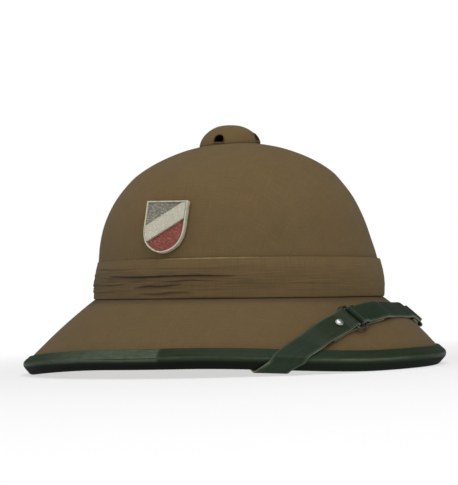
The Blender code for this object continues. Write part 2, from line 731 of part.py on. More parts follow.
def make_badge(metal, grey, ivory, red):
    outer, inner = shield_outline(0.0), shield_outline(BADGE_RIM)
    layers = [(outer, 0.0), (outer, BADGE_DEPTH), (inner, BADGE_DEPTH), (inner, BADGE_FLOOR)]
    prism("shield_badge", layers, metal)
    field = shield_outline(BADGE_RIM + GAP)
    far = BADGE_WIDTH + BADGE_HEIGHT
    bands = [("badge_grey", IVORY_HIGH + GAP, far, GREY_TOP, grey),
             ("badge_ivory", IVORY_LOW, IVORY_HIGH, IVORY_TOP, ivory),
             ("badge_red", -far, IVORY_LOW - GAP, RED_TOP, red)]
    for name, low, high, top, color in bands:
        outline = clip_outline(field, low, high)
        prism(name, [(outline, BADGE_FLOOR + GAP), (outline, top)], color)


def build():
    clear_scene()
    canvas = make_material("canvas", (0.145, 0.105, 0.045), 0.95)
    leather = make_material("leather", (0.025, 0.042, 0.027), 0.45)
    steel = make_material("steel", (0.60, 0.60, 0.57), 0.35, 1.0)
    metal = make_material("badge_metal", (0.55, 0.50, 0.38), 0.40, 0.8)
    grey = make_material("enamel_grey", (0.18, 0.17, 0.13), 0.50)
    ivory = make_material("enamel_ivory", (0.48, 0.45, 0.35), 0.50)
    red = make_material("enamel_red", (0.30, 0.07, 0.055), 0.45)
    make_crown(canvas)
    make_brim(canvas)
    make_binding(leather)
    make_band(canvas)
    make_cap(canvas)
    make_badge(metal, grey, ivory, red)
    front_strap("strap_front", leather)
    for side, place, loop in ((-1.0, "right", -LOOP_RIGHT), (1.0, "left", LOOP_LEFT)):
        strap = side_strap("strap_" + place, side, loop, leather)
        wire_loop("loop_" + place, loop, steel)
        fold_rivet("rivet_" + place, loop, -side, strap, steel)
        anchor_rivet("anchor_" + place, side, strap, steel)


build()
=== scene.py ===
import math
from functools import lru_cache

import bmesh
import bpy
from mathutils import Matrix, Vector, noise


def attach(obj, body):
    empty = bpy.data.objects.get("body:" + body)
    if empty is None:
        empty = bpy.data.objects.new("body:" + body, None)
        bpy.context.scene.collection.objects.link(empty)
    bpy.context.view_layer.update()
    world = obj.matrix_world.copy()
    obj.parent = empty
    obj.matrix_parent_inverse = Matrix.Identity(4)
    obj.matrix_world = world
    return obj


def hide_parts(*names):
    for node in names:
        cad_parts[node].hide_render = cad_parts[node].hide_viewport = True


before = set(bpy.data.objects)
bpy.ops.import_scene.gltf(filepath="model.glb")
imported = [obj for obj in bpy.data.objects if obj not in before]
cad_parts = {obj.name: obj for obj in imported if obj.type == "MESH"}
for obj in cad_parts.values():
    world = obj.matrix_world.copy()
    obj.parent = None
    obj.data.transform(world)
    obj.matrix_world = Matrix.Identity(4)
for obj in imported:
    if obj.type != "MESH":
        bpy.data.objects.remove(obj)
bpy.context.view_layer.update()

# Sizes are in metres. The front of the helmet is at +X, the wearer's right side at -Y,
# and the floor is at Z = 0.
air = 0.0003      # between pieces that lie on each other
probe = 0.001     # between points that a direction is worked out from


def ease(low, high, value):
    share = min(max((value - low) / (high - low), 0.0), 1.0)
    return share * share * (3.0 - 2.0 * share)


def curveAt(table, share):
    # a smooth curve through the rows of a table
    place = min(max(share, 0.0), 1.0) * (len(table) - 1)
    index = min(int(place), len(table) - 2)
    t = place - index
    rows = [table[min(max(index + k, 0), len(table) - 1)] for k in (-1, 0, 1, 2)]
    result = []
    for a, b, c, d in zip(*rows):
        bend = (2.0 * a - 5.0 * b + 4.0 * c - d) * t * t + (3.0 * b - 3.0 * c + d - a) * t * t * t
        result.append(0.5 * (2.0 * b + (c - a) * t + bend))
    return result


def solve(function, target, low, high):
    # where a steadily growing function meets the target
    for _ in range(32):
        middle = 0.5 * (low + high)
        if function(middle) < target:
            low = middle
        else:
            high = middle
    return 0.5 * (low + high)


def axesFrame(origin, xAxis, yAxis):
    # a frame with Z square to both ways
    xAxis = xAxis.normalized()
    zAxis = xAxis.cross(yAxis).normalized()
    result = Matrix((xAxis, zAxis.cross(xAxis), zAxis)).transposed().to_4x4()
    result.translation = origin
    return result


def turnFacesOut(mesh):
    shape = bmesh.new()
    shape.from_mesh(mesh)
    bmesh.ops.recalc_face_normals(shape, faces=shape.faces)
    shape.to_mesh(mesh)
    shape.free()


def lumps(spot, scale, fineScale):
    # uneven cloth: broad lumps with finer ones on them
    return noise.noise(spot * scale) + 0.4 * noise.noise(spot * fineScale)


def roundTurn(size, index):
    # angle round the helmet of a piece's row
    return 2.0 * math.pi * index / size["rounds"]


def finishMesh(name, mesh, material, nodes, sharp=50.0):
    # smooth shading, and the piece on its body with its slot and what it stands for
    turnFacesOut(mesh)
    mesh.materials.append(material)
    mesh.shade_smooth()
    mesh.set_sharp_from_angle(angle=math.radians(sharp))
    piece = bpy.data.objects.new(name, mesh)
    bpy.context.scene.collection.objects.link(piece)
    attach(piece, "root")
    if nodes:
        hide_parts(*nodes)
    return piece


def skin(name, rows, material, nodes=(), roundRows=False, mapAt=None, marks=None, sharp=50.0):
    # A surface over rows of points, each row a closed ring. mapAt gives the place on the cloth or
    # leather at (row, point), and marks are values painted on the surface: wear, painted shade and
    # highlight
    count, width = len(rows), len(rows[0])
    points = [point for row in rows for point in row]
    faces, corners = [], []
    for i in range(count if roundRows else count - 1):
        nextRow = (i + 1) % count
        for j in range(width):
            k = (j + 1) % width
            faces.append((i * width + j, i * width + k, nextRow * width + k, nextRow * width + j))
            corners.append(((i, j), (i, j + 1), (i + 1, j + 1), (i + 1, j)))
    if not roundRows:
        for i, order in ((0, -1), (count - 1, 1)):
            faces.append([i * width + j for j in range(width)][::order])
            corners.append([(i, j) for j in range(width)][::order])
    mesh = bpy.data.meshes.new(name)
    mesh.from_pydata(points, [], faces)
    if mapAt:
        layer = mesh.uv_layers.new(name="cloth")
        found = {}
        flat = []
        for corner in corners:
            for place in corner:
                if place not in found:
                    found[place] = mapAt(*place)
                flat.extend(found[place])
        layer.data.foreach_set("uv", flat)
    for mark, valueAt in (marks or {}).items():
        values = mesh.attributes.new(mark, "FLOAT", "POINT")
        values.data.foreach_set("value", [valueAt(i, j) for i in range(count) for j in range(width)])
    return finishMesh(name, mesh, material, nodes, sharp)


# Nodes

def startMaterial(name, color, roughness, metallic=0.0):
    material = bpy.data.materials.new(name)
    material.use_nodes = True
    shader = material.node_tree.nodes["Principled BSDF"]
    shader.inputs["Base Color"].default_value = (*color, 1.0)
    shader.inputs["Roughness"].default_value = roughness
    shader.inputs["Metallic"].default_value = metallic
    return material, material.node_tree, shader


def node(tree, kind, inputs=None, **settings):
    # a node with its settings; an input is a number, a colour or another node's output
    result = tree.nodes.new(kind)
    for key, value in settings.items():
        setattr(result, key, value)
    for key, value in (inputs or {}).items():
        if isinstance(value, bpy.types.NodeSocket):
            tree.links.new(value, result.inputs[key])
        else:
            result.inputs[key].default_value = value
    return result


def calc(tree, operation, first, second=0.0):
    return node(tree, "ShaderNodeMath", {0: first, 1: second}, operation=operation).outputs[0]


def blendColors(tree, factor, first, second, mode="MIX"):
    mix = node(tree, "ShaderNodeMix", data_type="RGBA", blend_type=mode)
    for socket, value in ((mix.inputs[0], factor), (mix.inputs[6], first), (mix.inputs[7], second)):
        if isinstance(value, bpy.types.NodeSocket):
            tree.links.new(value, socket)
        elif isinstance(value, float):
            socket.default_value = value
        else:
            socket.default_value = (*value, 1.0)
    return mix.outputs[2]


def shadeColor(tree, color, tone):
    # a colour made lighter or darker by a value
    grey = node(tree, "ShaderNodeCombineColor", {0: tone, 1: tone, 2: tone})
    return blendColors(tree, 1.0, color, grey.outputs[0], "MULTIPLY")


def addRelief(tree, shader, height, strength, distance):
    bump = node(tree, "ShaderNodeBump", {"Height": height, "Strength": strength, "Distance": distance})
    tree.links.new(bump.outputs[0], shader.inputs["Normal"])


def spread(tree, value, low, high, first=0.0, last=1.0):
    # a value from one range to another, held at its ends
    inputs = {"From Min": low, "From Max": high, "To Min": first, "To Max": last}
    spot = node(tree, "ShaderNodeMapRange", inputs)
    tree.links.new(value, spot.inputs["Value"])
    return spot.outputs[0]


def mottle(tree, place, scale, detail=3.0, rough=0.5, stretch=(1.0, 1.0, 1.0)):
    mapping = node(tree, "ShaderNodeMapping", {"Vector": place, "Scale": stretch})
    inputs = {"Vector": mapping.outputs[0], "Scale": scale, "Detail": detail, "Roughness": rough}
    return node(tree, "ShaderNodeTexNoise", inputs).outputs["Fac"]


def mark(tree, name):
    return node(tree, "ShaderNodeAttribute", attribute_name=name).outputs["Fac"]


clothLook = {
    "color": (0.146, 0.100, 0.041),      # sun-faded khaki
    "deep": (0.056, 0.035, 0.016),       # painted shade in its folds, hollows and crevices, and dust on the brim
    "paintedHighlight": (0.300, 0.235, 0.125),     # painted highlight along the band's upper hem
    "warm": (0.152, 0.098, 0.040),       # patches that lean to brown
    "roughness": 0.93,
    "thread": 0.00068,                   # from thread to thread
    "threadBump": 0.10, "threadDepth": 0.0006,
    "threadTone": (0.84, 1.14),          # darkest and lightest, of thick and thin threads
    "weaveTone": (-0.20, 0.13),          # added between the threads and on them
    "smudgeTone": (-0.035, 0.035),
    "fuzz": 0.03, "fuzzRoughness": 0.6, "shine": 0.25,
}


def clothMaterial(name, look):
    material, tree, shader = startMaterial(name, look["color"], look["roughness"])
    place = node(tree, "ShaderNodeUVMap", uv_map="cloth").outputs[0]
    world = node(tree, "ShaderNodeTexCoord").outputs["Object"]
    apart = node(tree, "ShaderNodeSeparateXYZ", {0: place})
    turn = math.pi / look["thread"]
    # warp and weft go over and under each other
    sway = calc(tree, "MULTIPLY", mottle(tree, place, 420.0, 2.0), 0.9)
    warp = calc(tree, "SINE", calc(tree, "ADD", calc(tree, "MULTIPLY", apart.outputs[0], turn), sway))
    weft = calc(tree, "SINE", calc(tree, "ADD", calc(tree, "MULTIPLY", apart.outputs[1], turn), sway))
    weave = calc(tree, "MULTIPLY", warp, weft)
    slubs = mottle(tree, place, 60.0, 2.0, 0.6, (1.0, 22.0, 1.0))
    ends = mottle(tree, place, 60.0, 2.0, 0.6, (22.0, 1.0, 1.0))
    threads = calc(tree, "ADD", calc(tree, "MULTIPLY", slubs, 0.5), calc(tree, "MULTIPLY", ends, 0.5))
    patches = mottle(tree, world, 16.0, 4.0, 0.6)
    smudges = mottle(tree, world, 90.0, 3.0, 0.6)
    color = blendColors(tree, spread(tree, patches, 0.35, 0.70), look["color"], look["warm"])
    tone = spread(tree, threads, 0.30, 0.70, *look["threadTone"])
    tone = calc(tree, "ADD", tone, spread(tree, weave, -1.0, 1.0, *look["weaveTone"]))
    tone = calc(tree, "ADD", tone, spread(tree, smudges, 0.3, 0.7, *look["smudgeTone"]))
    color = shadeColor(tree, color, tone)
    # painted shade in folds, hollows and crevices, with dust on the brim
    color = blendColors(tree, mark(tree, "shadeAndDust"), color, look["deep"])
    # painted highlight along the band's upper hem
    color = blendColors(tree, mark(tree, "wearAndHighlight"), color, look["paintedHighlight"])
    tree.links.new(color, shader.inputs["Base Color"])
    gloss = spread(tree, threads, 0.3, 0.7, look["roughness"] - 0.05, 1.0)
    tree.links.new(gloss, shader.inputs["Roughness"])
    height = calc(tree, "ADD", calc(tree, "MULTIPLY", weave, 0.5), threads)
    addRelief(tree, shader, height, look["threadBump"], look["threadDepth"])
    shader.inputs["Sheen Weight"].default_value = look["fuzz"]
    shader.inputs["Sheen Roughness"].default_value = look["fuzzRoughness"]
    shader.inputs["Specular IOR Level"].default_value = look["shine"]
    return material


leatherLook = {
    "color": (0.0180, 0.0335, 0.0178),   # dark green
    "olive": (0.024, 0.033, 0.0165),     # where the dye has turned
    "worn": (0.125, 0.150, 0.105),       # rubbed strap edges, and painted highlight on the rim's corner and behind its joint
    "fibre": (0.30, 0.28, 0.20),         # cut edges
    "shadow": (0.0030, 0.0042, 0.0026),  # painted shade on the rim's outer face and along the flap's edge
    "roughness": 0.42,
    "shine": 0.09,
    "pores": 1500.0,
    "poreBump": 0.10, "poreDepth": 0.0008,
    "streakTone": (0.84, 1.16),
    "edgeDull": 0.35, "shadeDull": 0.45, # how much rougher cut edges and the faces with painted shade are
}


def leatherMaterial(name, look):
    material, tree, shader = startMaterial(name, look["color"], look["roughness"])
    place = node(tree, "ShaderNodeUVMap", uv_map="cloth").outputs[0]
    world = node(tree, "ShaderNodeTexCoord").outputs["Object"]
    cells = node(tree, "ShaderNodeTexVoronoi", {"Vector": world, "Scale": look["pores"]})
    pores = cells.outputs["Distance"]
    wrinkles = mottle(tree, place, 120.0, 4.0, 0.6, (1.0, 3.0, 1.0))
    patches = mottle(tree, world, 40.0, 3.0, 0.6)
    streaks = mottle(tree, place, 40.0, 3.0, 0.6, (1.0, 14.0, 1.0))
    color = blendColors(tree, spread(tree, patches, 0.35, 0.70), look["color"], look["olive"])
    color = shadeColor(tree, color, spread(tree, streaks, 0.3, 0.7, *look["streakTone"]))
    # painted highlight on the rim's binding, and real rubbing along the strap edges
    rubAndHighlight = calc(tree, "MULTIPLY", mark(tree, "wearAndHighlight"), spread(tree, wrinkles, 0.25, 0.65, 0.45, 1.0))
    color = blendColors(tree, rubAndHighlight, color, look["worn"])
    # painted shade on the rim's outer face and along the flap's edge
    color = blendColors(tree, mark(tree, "shade"), color, look["shadow"])
    color = blendColors(tree, mark(tree, "edge"), color, look["fibre"])
    tree.links.new(color, shader.inputs["Base Color"])
    gloss = spread(tree, streaks, 0.3, 0.7, look["roughness"] - 0.06, look["roughness"] + 0.10)
    for name, dull in (("edge", look["edgeDull"]), ("shade", look["shadeDull"])):
        gloss = calc(tree, "ADD", gloss, calc(tree, "MULTIPLY", mark(tree, name), dull))
    tree.links.new(gloss, shader.inputs["Roughness"])
    height = calc(tree, "ADD", calc(tree, "MULTIPLY", pores, 0.6), wrinkles)
    addRelief(tree, shader, height, look["poreBump"], look["poreDepth"])
    shader.inputs["Specular IOR Level"].default_value = look["shine"]
    return material


metalLook = {
    "steel": {"color": (0.58, 0.58, 0.55), "dull": (0.30, 0.29, 0.26),
              "metallic": 1.0, "roughness": 0.30, "scratch": 700.0},
    "loop": {"color": (0.110, 0.120, 0.105), "dull": (0.035, 0.040, 0.033),
             "metallic": 1.0, "roughness": 0.38, "scratch": 700.0},
    "badge": {"color": (0.60, 0.56, 0.44), "dull": (0.36, 0.32, 0.23),
              "metallic": 0.35, "roughness": 0.52, "scratch": 500.0},
}


def metalMaterial(name, look):
    material, tree, shader = startMaterial(name, look["color"], look["roughness"], look["metallic"])
    world = node(tree, "ShaderNodeTexCoord").outputs["Object"]
    scratches = mottle(tree, world, look["scratch"], 3.0, 0.6, (1.0, 0.12, 0.6))
    tarnish = mottle(tree, world, 320.0, 4.0, 0.65)
    color = blendColors(tree, spread(tree, tarnish, 0.48, 0.74), look["color"], look["dull"])
    tree.links.new(color, shader.inputs["Base Color"])
    gloss = spread(tree, scratches, 0.3, 0.7, look["roughness"] - 0.08, look["roughness"] + 0.18)
    tree.links.new(gloss, shader.inputs["Roughness"])
    addRelief(tree, shader, scratches, 0.10, 0.0004)
    return material


enamelLook = {
    "grey": {"color": (0.160, 0.148, 0.112), "worn": (0.42, 0.40, 0.33), "dirt": (0.070, 0.064, 0.050)},
    "ivory": {"color": (0.50, 0.47, 0.37), "worn": (0.68, 0.66, 0.56), "dirt": (0.30, 0.27, 0.20)},
    "red": {"color": (0.200, 0.034, 0.022), "worn": (0.36, 0.14, 0.10), "dirt": (0.110, 0.020, 0.014)},
}
enamelGrain = {"scale": 1800.0, "stretch": (0.30, 0.9, 0.8), "bump": 0.40, "depth": 0.0005,
               "roughness": 0.58}


def enamelMaterial(name, look):
    # thin paint rubbed down to the stamped metal
    material, tree, shader = startMaterial(name, look["color"], enamelGrain["roughness"])
    world = node(tree, "ShaderNodeTexCoord").outputs["Object"]
    streaks = mottle(tree, world, enamelGrain["scale"], 4.0, 0.62, enamelGrain["stretch"])
    specks = mottle(tree, world, enamelGrain["scale"] * 1.6, 3.0, 0.6)
    color = blendColors(tree, spread(tree, streaks, 0.50, 0.64), look["color"], look["worn"])
    color = blendColors(tree, spread(tree, specks, 0.53, 0.64, 0.0, 0.7), color, look["dirt"])
    tree.links.new(color, shader.inputs["Base Color"])
    tree.links.new(spread(tree, streaks, 0.3, 0.7, 0.45, 0.70), shader.inputs["Roughness"])
    addRelief(tree, shader, streaks, enamelGrain["bump"], enamelGrain["depth"])
    return material


canvas = clothMaterial("khakiCanvas", clothLook)
greenLeather = leatherMaterial("greenLeather", leatherLook)
steel = metalMaterial("dullSteel", metalLook["steel"])
loopSteel = metalMaterial("darkSteel", metalLook["loop"])
badgeMetal = metalMaterial("badgeMetal", metalLook["badge"])
enamels = {color: enamelMaterial(color + "Enamel", look) for color, look in enamelLook.items()}
print("the materials are mixed")


# The crown

crownSize = {
    "length": 0.2274,                # outside at its foot, front to back
    "width": 0.188,
    "height": 0.120,
    "wall": 0.006,
    "forward": 0.0076,               # its centre lies this far before the brim's
    "foot": 0.0564,                  # its foot above the floor
    "pitch": math.radians(1.45),     # the foot dips this much to the front
    "hole": 0.026,                   # under the vent cap
    "unevenness": 0.00045,           # of the cloth over the cork
    "seat": 0.00022,                 # its foot comes down this much more, onto the brim
    "flatFoot": (0.020, 0.036),      # heights and distances from the top where the cloth starts to
    "flatTop": (0.026, 0.040),       # how much darker the cloth is towards the band, and the painted shade inside
    "darkerLow": 0.16, "inside": 0.3,  # how dark the cloth is above the band and inside
    "rounds": 240, "rows": 84, "innerRows": 24,
}

# height, reach at the rear, reach at the front, as shares
crownOutline = [(0.0, 1.0, 1.0), (0.125, 0.993, 0.994), (0.25, 0.979, 0.972), (0.365, 0.965, 0.934),
                (0.49, 0.930, 0.889), (0.62, 0.863, 0.823), (0.725, 0.777, 0.743), (0.80, 0.692, 0.668),
                (0.88, 0.549, 0.532), (0.945, 0.374, 0.365), (0.985, 0.190, 0.190), (1.0, 0.0, 0.0)]
stance = Matrix.Translation((0.0, 0.0, crownSize["foot"])) @ Matrix.Rotation(crownSize["pitch"], 4, "Y")


def crownReach(share, angle):
    height, rear, front = curveAt(crownOutline, share)
    return height, rear + (front - rear) * ease(-1.0, 1.0, math.cos(angle))


def crownPoint(share, angle, inset=0.0):
    height, reach = crownReach(share, angle)
    return Vector((crownSize["forward"] + (crownSize["length"] / 2.0 - inset) * reach * math.cos(angle),
                   (crownSize["width"] / 2.0 - inset) * reach * math.sin(angle),
                   (crownSize["height"] - inset) * height))


@lru_cache(maxsize=4096)
def crownShare(height):
    return solve(lambda s: curveAt(crownOutline, s)[0] * crownSize["height"], max(height, 0.0), 0.0, 1.0)


def crownWall(angle, height, inset=0.0):
    # a point of the wall at a height; below the foot the wall goes straight down
    reach = crownReach(crownShare(height), angle)[1]
    return Vector((crownSize["forward"] + (crownSize["length"] / 2.0 * reach - inset) * math.cos(angle),
                   (crownSize["width"] / 2.0 * reach - inset) * math.sin(angle),
                   height))


@lru_cache(maxsize=4096)
def crownTopHeight(x, y):
    along, aside = (x - crownSize["forward"]) / (crownSize["length"] / 2.0), y / (crownSize["width"] / 2.0)
    reach, angle = math.hypot(along, aside), math.atan2(aside, along)
    share = solve(lambda s: -crownReach(s, angle)[1], -reach, 0.0, 1.0)
    return curveAt(crownOutline, share)[0] * crownSize["height"]


def wallFrame(angle, level, inset=0.0):
    # axes on the crown: X round it, Y up it, Z out of it
    origin = crownWall(angle, level, inset)
    xAxis = crownWall(angle + probe, level, inset) - crownWall(angle - probe, level, inset)
    yAxis = crownWall(angle, level + probe, inset) - crownWall(angle, level - probe, inset)
    return stance @ axesFrame(origin, xAxis, yAxis)


def arcFromTop(rows, holeShare):
    # length of cloth from the top of the crown down to each row, along its side
    lengths = [0.0]
    for k in range(rows, 0, -1):
        above, below = (crownPoint(holeShare * row / rows, math.pi / 2.0) for row in (k, k - 1))
        lengths.append(lengths[-1] + (above - below).length)
    start = crownSize["hole"] / 2.0
    return [start + length for length in lengths[::-1]]


def makeCrown():
    size = crownSize
    holeShare = solve(lambda s: -crownReach(s, 0.0)[1] * size["length"], -size["hole"], 0.0, 1.0)
    middle = Vector((size["forward"], 0.0, 0.0))
    rows = []
    for i in range(size["rounds"]):
        angle = roundTurn(size, i)
        row = []
        for k in range(size["rows"] + 1):
            point = crownPoint(holeShare * k / size["rows"], angle)
            free = ease(*size["flatFoot"], point.z) * ease(*size["flatTop"], (point - middle).xy.length)
            lump = lumps(point, 13.0, 37.0)
            point.z -= size["seat"] * (k == 0)
            row.append(stance @ (point + (point - middle).normalized() * lump * size["unevenness"] * free))
        for k in range(size["innerRows"], -1, -1):
            point = crownPoint(holeShare * k / size["innerRows"], angle, size["wall"])
            point.z -= size["seat"] * (k == 0)
            row.append(stance @ point)
        rows.append(row)
    outer, inner = arcFromTop(size["rows"], holeShare), arcFromTop(size["innerRows"], holeShare)
    arcs = outer + inner[::-1]

    def mapAt(i, j):
        angle = roundTurn(size, i)
        arc = arcs[j % len(arcs)]
        return arc * math.cos(angle), arc * math.sin(angle)

    def shadeAndDust(i, j):
        # darker towards the band, and painted shade inside the crown
        spot = j % (size["rows"] + size["innerRows"] + 2)
        if spot > size["rows"]:
            return size["inside"]
        return size["darkerLow"] * (1.0 - ease(0.25, 0.55, spot / size["rows"]))

    return skin("crownCloth", rows, canvas, ["crown"], True, mapAt, {"shadeAndDust": shadeAndDust})


makeCrown()
print("the crown is covered")


# The brim

brimSize = {
    "length": 0.3412, "width": 0.274,       # over the binding
    "board": 0.0096, "swell": 0.0014,
    "sideLift": 0.0062,                     # the rim's sides stand this far off the floor
    "liftStart": math.radians(30.0), "liftFull": math.radians(84.0),
    "liftRear": math.radians(105.0), "rearStart": math.radians(162.0),
    "unevenness": 0.00030,
    "dust": 0.10, "bandShade": 0.50, "rimShade": 0.08,   # how dark: dust all over, painted shade at the band and at the rim
    "rounds": 240, "rows": 30,
}
bindingSize = {
    "leather": 0.0012, "flap": 0.0098, "corner": 0.0020, "tread": 0.0020,
    "clear": 0.0015,                        # between the binding and the brim's swell
    "turn": 0.0042,                         # how round it is pulled over the rim's upper corner
    "lower": 0.0016,                        # rounding of the edges it stands on
    "joint": math.radians(-90.0),           # where the strip of leather laps over its own end
    "lap": 0.0005,
    "highlightCentre": math.radians(-42.0),        # where the painted highlight on its corner is brightest
    "sheenPeak": math.radians(-104.0),         # the painted sheen behind the joint, brightest here
    "sheenEnd": math.radians(-140.0),
    "paintedSheen": 0.60, "cornerHighlight": 0.30, "frontHighlight": 0.72,   # how bright the painted sheen and highlights are in those places
    "faceShade": 0.95, "faceShadeFront": 0.20,     # how dark the painted shade on its outer face is, and how much less in front
    "edgeRound": 0.45,                       # of its upper edge, as a share of the leather
    "unevenness": 0.00012,
    "mapRadius": 0.155,
    "rounds": 360,
}
bindingOffset = bindingSize["leather"] + air
rimThickness = brimSize["board"] + 2.0 * bindingOffset


def rimClearance(angle):
    turn = abs(math.remainder(angle, 2.0 * math.pi))
    rise = ease(brimSize["liftStart"], brimSize["liftFull"], turn)
    return brimSize["sideLift"] * (rise - ease(brimSize["liftRear"], brimSize["rearStart"], turn))


@lru_cache(maxsize=200000)
def rimFrame(angle):
    # the brim's line at an angle: its root on the crown, its outer corner and its own axes
    tangent = Vector((-brimSize["length"] * math.sin(angle), brimSize["width"] * math.cos(angle), 0.0))
    tangent.normalize()
    foot = crownPoint(0.0, angle)
    root = stance @ Vector((foot.x, foot.y, -air))
    corner = Vector((brimSize["length"] / 2.0 * math.cos(angle),
                     brimSize["width"] / 2.0 * math.sin(angle), 0.0))
    clearance = rimClearance(angle)
    for _ in range(8):
        up = (corner - root).cross(tangent).normalized()
        treadCut = bindingSize["tread"] * up.z * math.sqrt(1.0 - up.z * up.z)
        corner.z = clearance - treadCut + rimThickness * up.z
    return root, corner, tangent.cross(up), up


def freeShare(angle):
    # the part of the brim's line above the binding
    root, corner = rimFrame(angle)[:2]
    return 1.0 - (bindingSize["flap"] + bindingSize["clear"]) / (corner - root).length


def brimTop(angle, share, lift=0.0):
    root, corner, out, up = rimFrame(angle)
    swell = brimSize["swell"] * math.sin(math.pi * min(share / freeShare(angle), 1.0))
    return root.lerp(corner - bindingOffset * up, share) + (swell + lift) * up


def makeBrim():
    size = brimSize
    rows, lines = [], []
    for i in range(size["rounds"]):
        angle = roundTurn(size, i)
        root, corner, out, up = rimFrame(angle)
        shares = [freeShare(angle) * k / size["rows"] for k in range(1, size["rows"] + 1)]
        opening = crownPoint(0.0, angle, crownSize["wall"])
        innerTop = stance @ Vector((opening.x, opening.y, -air))
        edge = corner - bindingOffset * (up + out)
        top, bottom = [innerTop, root], [edge - size["board"] * up]
        for share in shares:
            spot = brimTop(angle, share)
            free = ease(0.0, 0.12, share) * (1.0 - ease(0.80, 0.95, share / shares[-1]))
            top.append(spot + up * lumps(spot, 15.0, 41.0) * size["unevenness"] * free)
        for share in reversed(shares):
            bottom.append(brimTop(angle, share, -size["board"]))
        innerBottom = innerTop.copy()
        innerBottom.z = (root - size["board"] * up).z
        rows.append(top + [edge] + bottom + [innerBottom])
        reach, length = root.xy.length, (corner - root).length
        topLine = [reach - crownSize["wall"], reach] + [reach + share * length for share in shares]
        lines.append(topLine + [reach + length, reach + length] + topLine[:1:-1] + [topLine[0]])

    def mapAt(i, j):
        angle = roundTurn(size, i)
        line = lines[i % size["rounds"]]
        return line[j % len(line)] * math.cos(angle), line[j % len(line)] * math.sin(angle)

    def shadeAndDust(i, j):
        # dust all over the brim, and painted shade where it meets the band and the binding
        spot = j - 1
        if not 0 <= spot <= size["rows"]:
            return 0.0
        nearBand = 1.0 - ease(0.0, 4.0, spot - 1.5)
        nearRim = ease(0.85, 1.0, spot / size["rows"])
        return size["dust"] + size["bandShade"] * nearBand + size["rimShade"] * nearRim

    return skin("brimCloth", rows, canvas, ["brim"], True, mapAt, {"shadeAndDust": shadeAndDust})


makeBrim()
print("the brim is covered")


# The leather binding of the rim

def arcPoints(middle, radius, first, last, count):
    # points of an arc, as (out, up)
    spots = []
    for k in range(count + 1):
        turn = math.radians(first + (last - first) * k / count)
        spots.append((middle[0] + radius * math.cos(turn), middle[1] + radius * math.sin(turn)))
    return spots


def makeBinding():
    size = bindingSize
    flap, depth, leather, radius = size["flap"], rimThickness, size["leather"], size["turn"]
    edgeRadius = leather * size["edgeRound"]
    rows, angles = [], []
    for i in range(size["rounds"]):
        angle = roundTurn(size, i + 0.5) - math.pi
        root, corner, out, up = rimFrame(angle)
        level = Vector((out.x, out.y, 0.0)).normalized()
        treadIn = corner - depth * up - size["tread"] * math.sqrt(1.0 - up.z ** 2) * out
        treadIn.z = rimClearance(angle)
        treadOut = treadIn + size["tread"] * level
        # behind the joint the strip runs under its other end
        behind = size["joint"] - angle
        lap = size["lap"] * (1.0 - ease(0.0, 0.5, behind)) if behind > 0.0 else 0.0
        lump = size["unevenness"] * noise.noise(corner * 30.0)
        section = [(-flap, -leather), (-flap, edgeRadius - leather)]
        section += arcPoints((edgeRadius - flap, -edgeRadius), edgeRadius, 180.0, 90.0, 4)[1:]
        section += [(-flap * share, 0.0) for share in (0.90, 0.80, 0.70, 0.60, 0.50)]
        section += arcPoints((-radius, -radius), radius, 90.0, 0.0, 12)
        ring = []
        for index, (outward, upward) in enumerate(section):
            sink = (lap - lump) * min((len(section) - 1 - index) / 12.0, 1.0) if index > 1 else 0.0
            ring.append(corner + outward * out + (upward - sink) * up)
        face = ring[-1]
        lower = size["lower"]
        run = (treadOut - face).length
        for share in (0.25, 0.5, 0.75, 1.0):
            ring.append(face.lerp(treadOut, share * (1.0 - lower / run)))
        start, end = ring[-1], treadOut - lower * level
        for t in (0.25, 0.5, 0.75, 1.0):
            ring.append(start * (1.0 - t) ** 2 + treadOut * 2.0 * t * (1.0 - t) + end * t * t)
        under = corner - flap * out - depth * up
        ring += [treadIn] + [treadIn.lerp(under, share) for share in (0.10, 0.5, 0.93)] + [under]
        inside = ((-flap, leather - depth), (-leather, leather - depth), (-leather, -leather))
        for outward, upward in inside:
            ring.append(corner + outward * out + upward * up)
        rows.append(ring)
        angles.append(angle)
    width = len(rows[0])
    across = [0.0]
    for j in range(1, width):
        across.append(across[-1] + (rows[90][j] - rows[90][j - 1]).length)
    tops = len(section)

    def mapAt(i, j):
        return roundTurn(size, i) * size["mapRadius"], across[j % width]

    def highlightAt(angle):
        return math.exp(-((angle - size["highlightCentre"]) / 0.45) ** 2)

    def wearAndHighlight(i, j):
        # painted sheen behind the joint, and a painted highlight along the corner
        angle = angles[i]
        if j >= tops + 1:
            return 0.0
        paintedSheen = 0.0
        if size["sheenEnd"] < angle < size["joint"]:
            paintedSheen = size["paintedSheen"] * ease(size["sheenEnd"], size["sheenPeak"], angle)
        paintedHighlight = size["cornerHighlight"] + size["frontHighlight"] * highlightAt(angle)
        paintedHighlight *= math.exp(-((j - tops + 7.5) / 1.5) ** 2)
        return min(paintedSheen + paintedHighlight * (0.75 + 0.5 * noise.noise(rows[i][j] * 45.0)), 1.0)

    def shade(i, j):
        # painted shade along the flap's edge on the cloth, and over the outer face, which faces down
        if j < 2:
            return 1.0
        if j < 4:
            return 0.5
        dark = size["faceShade"] - size["faceShadeFront"] * highlightAt(angles[i])
        return dark * ease(tops - 6.5, tops - 0.5, j)

    return skin("rimBinding", rows, greenLeather, ["rim_binding"], True, mapAt,
                {"wearAndHighlight": wearAndHighlight, "shade": shade})


makeBinding()
print("the rim is bound")


# The hat band: a strip of canvas laid round the foot of the crown in soft folds

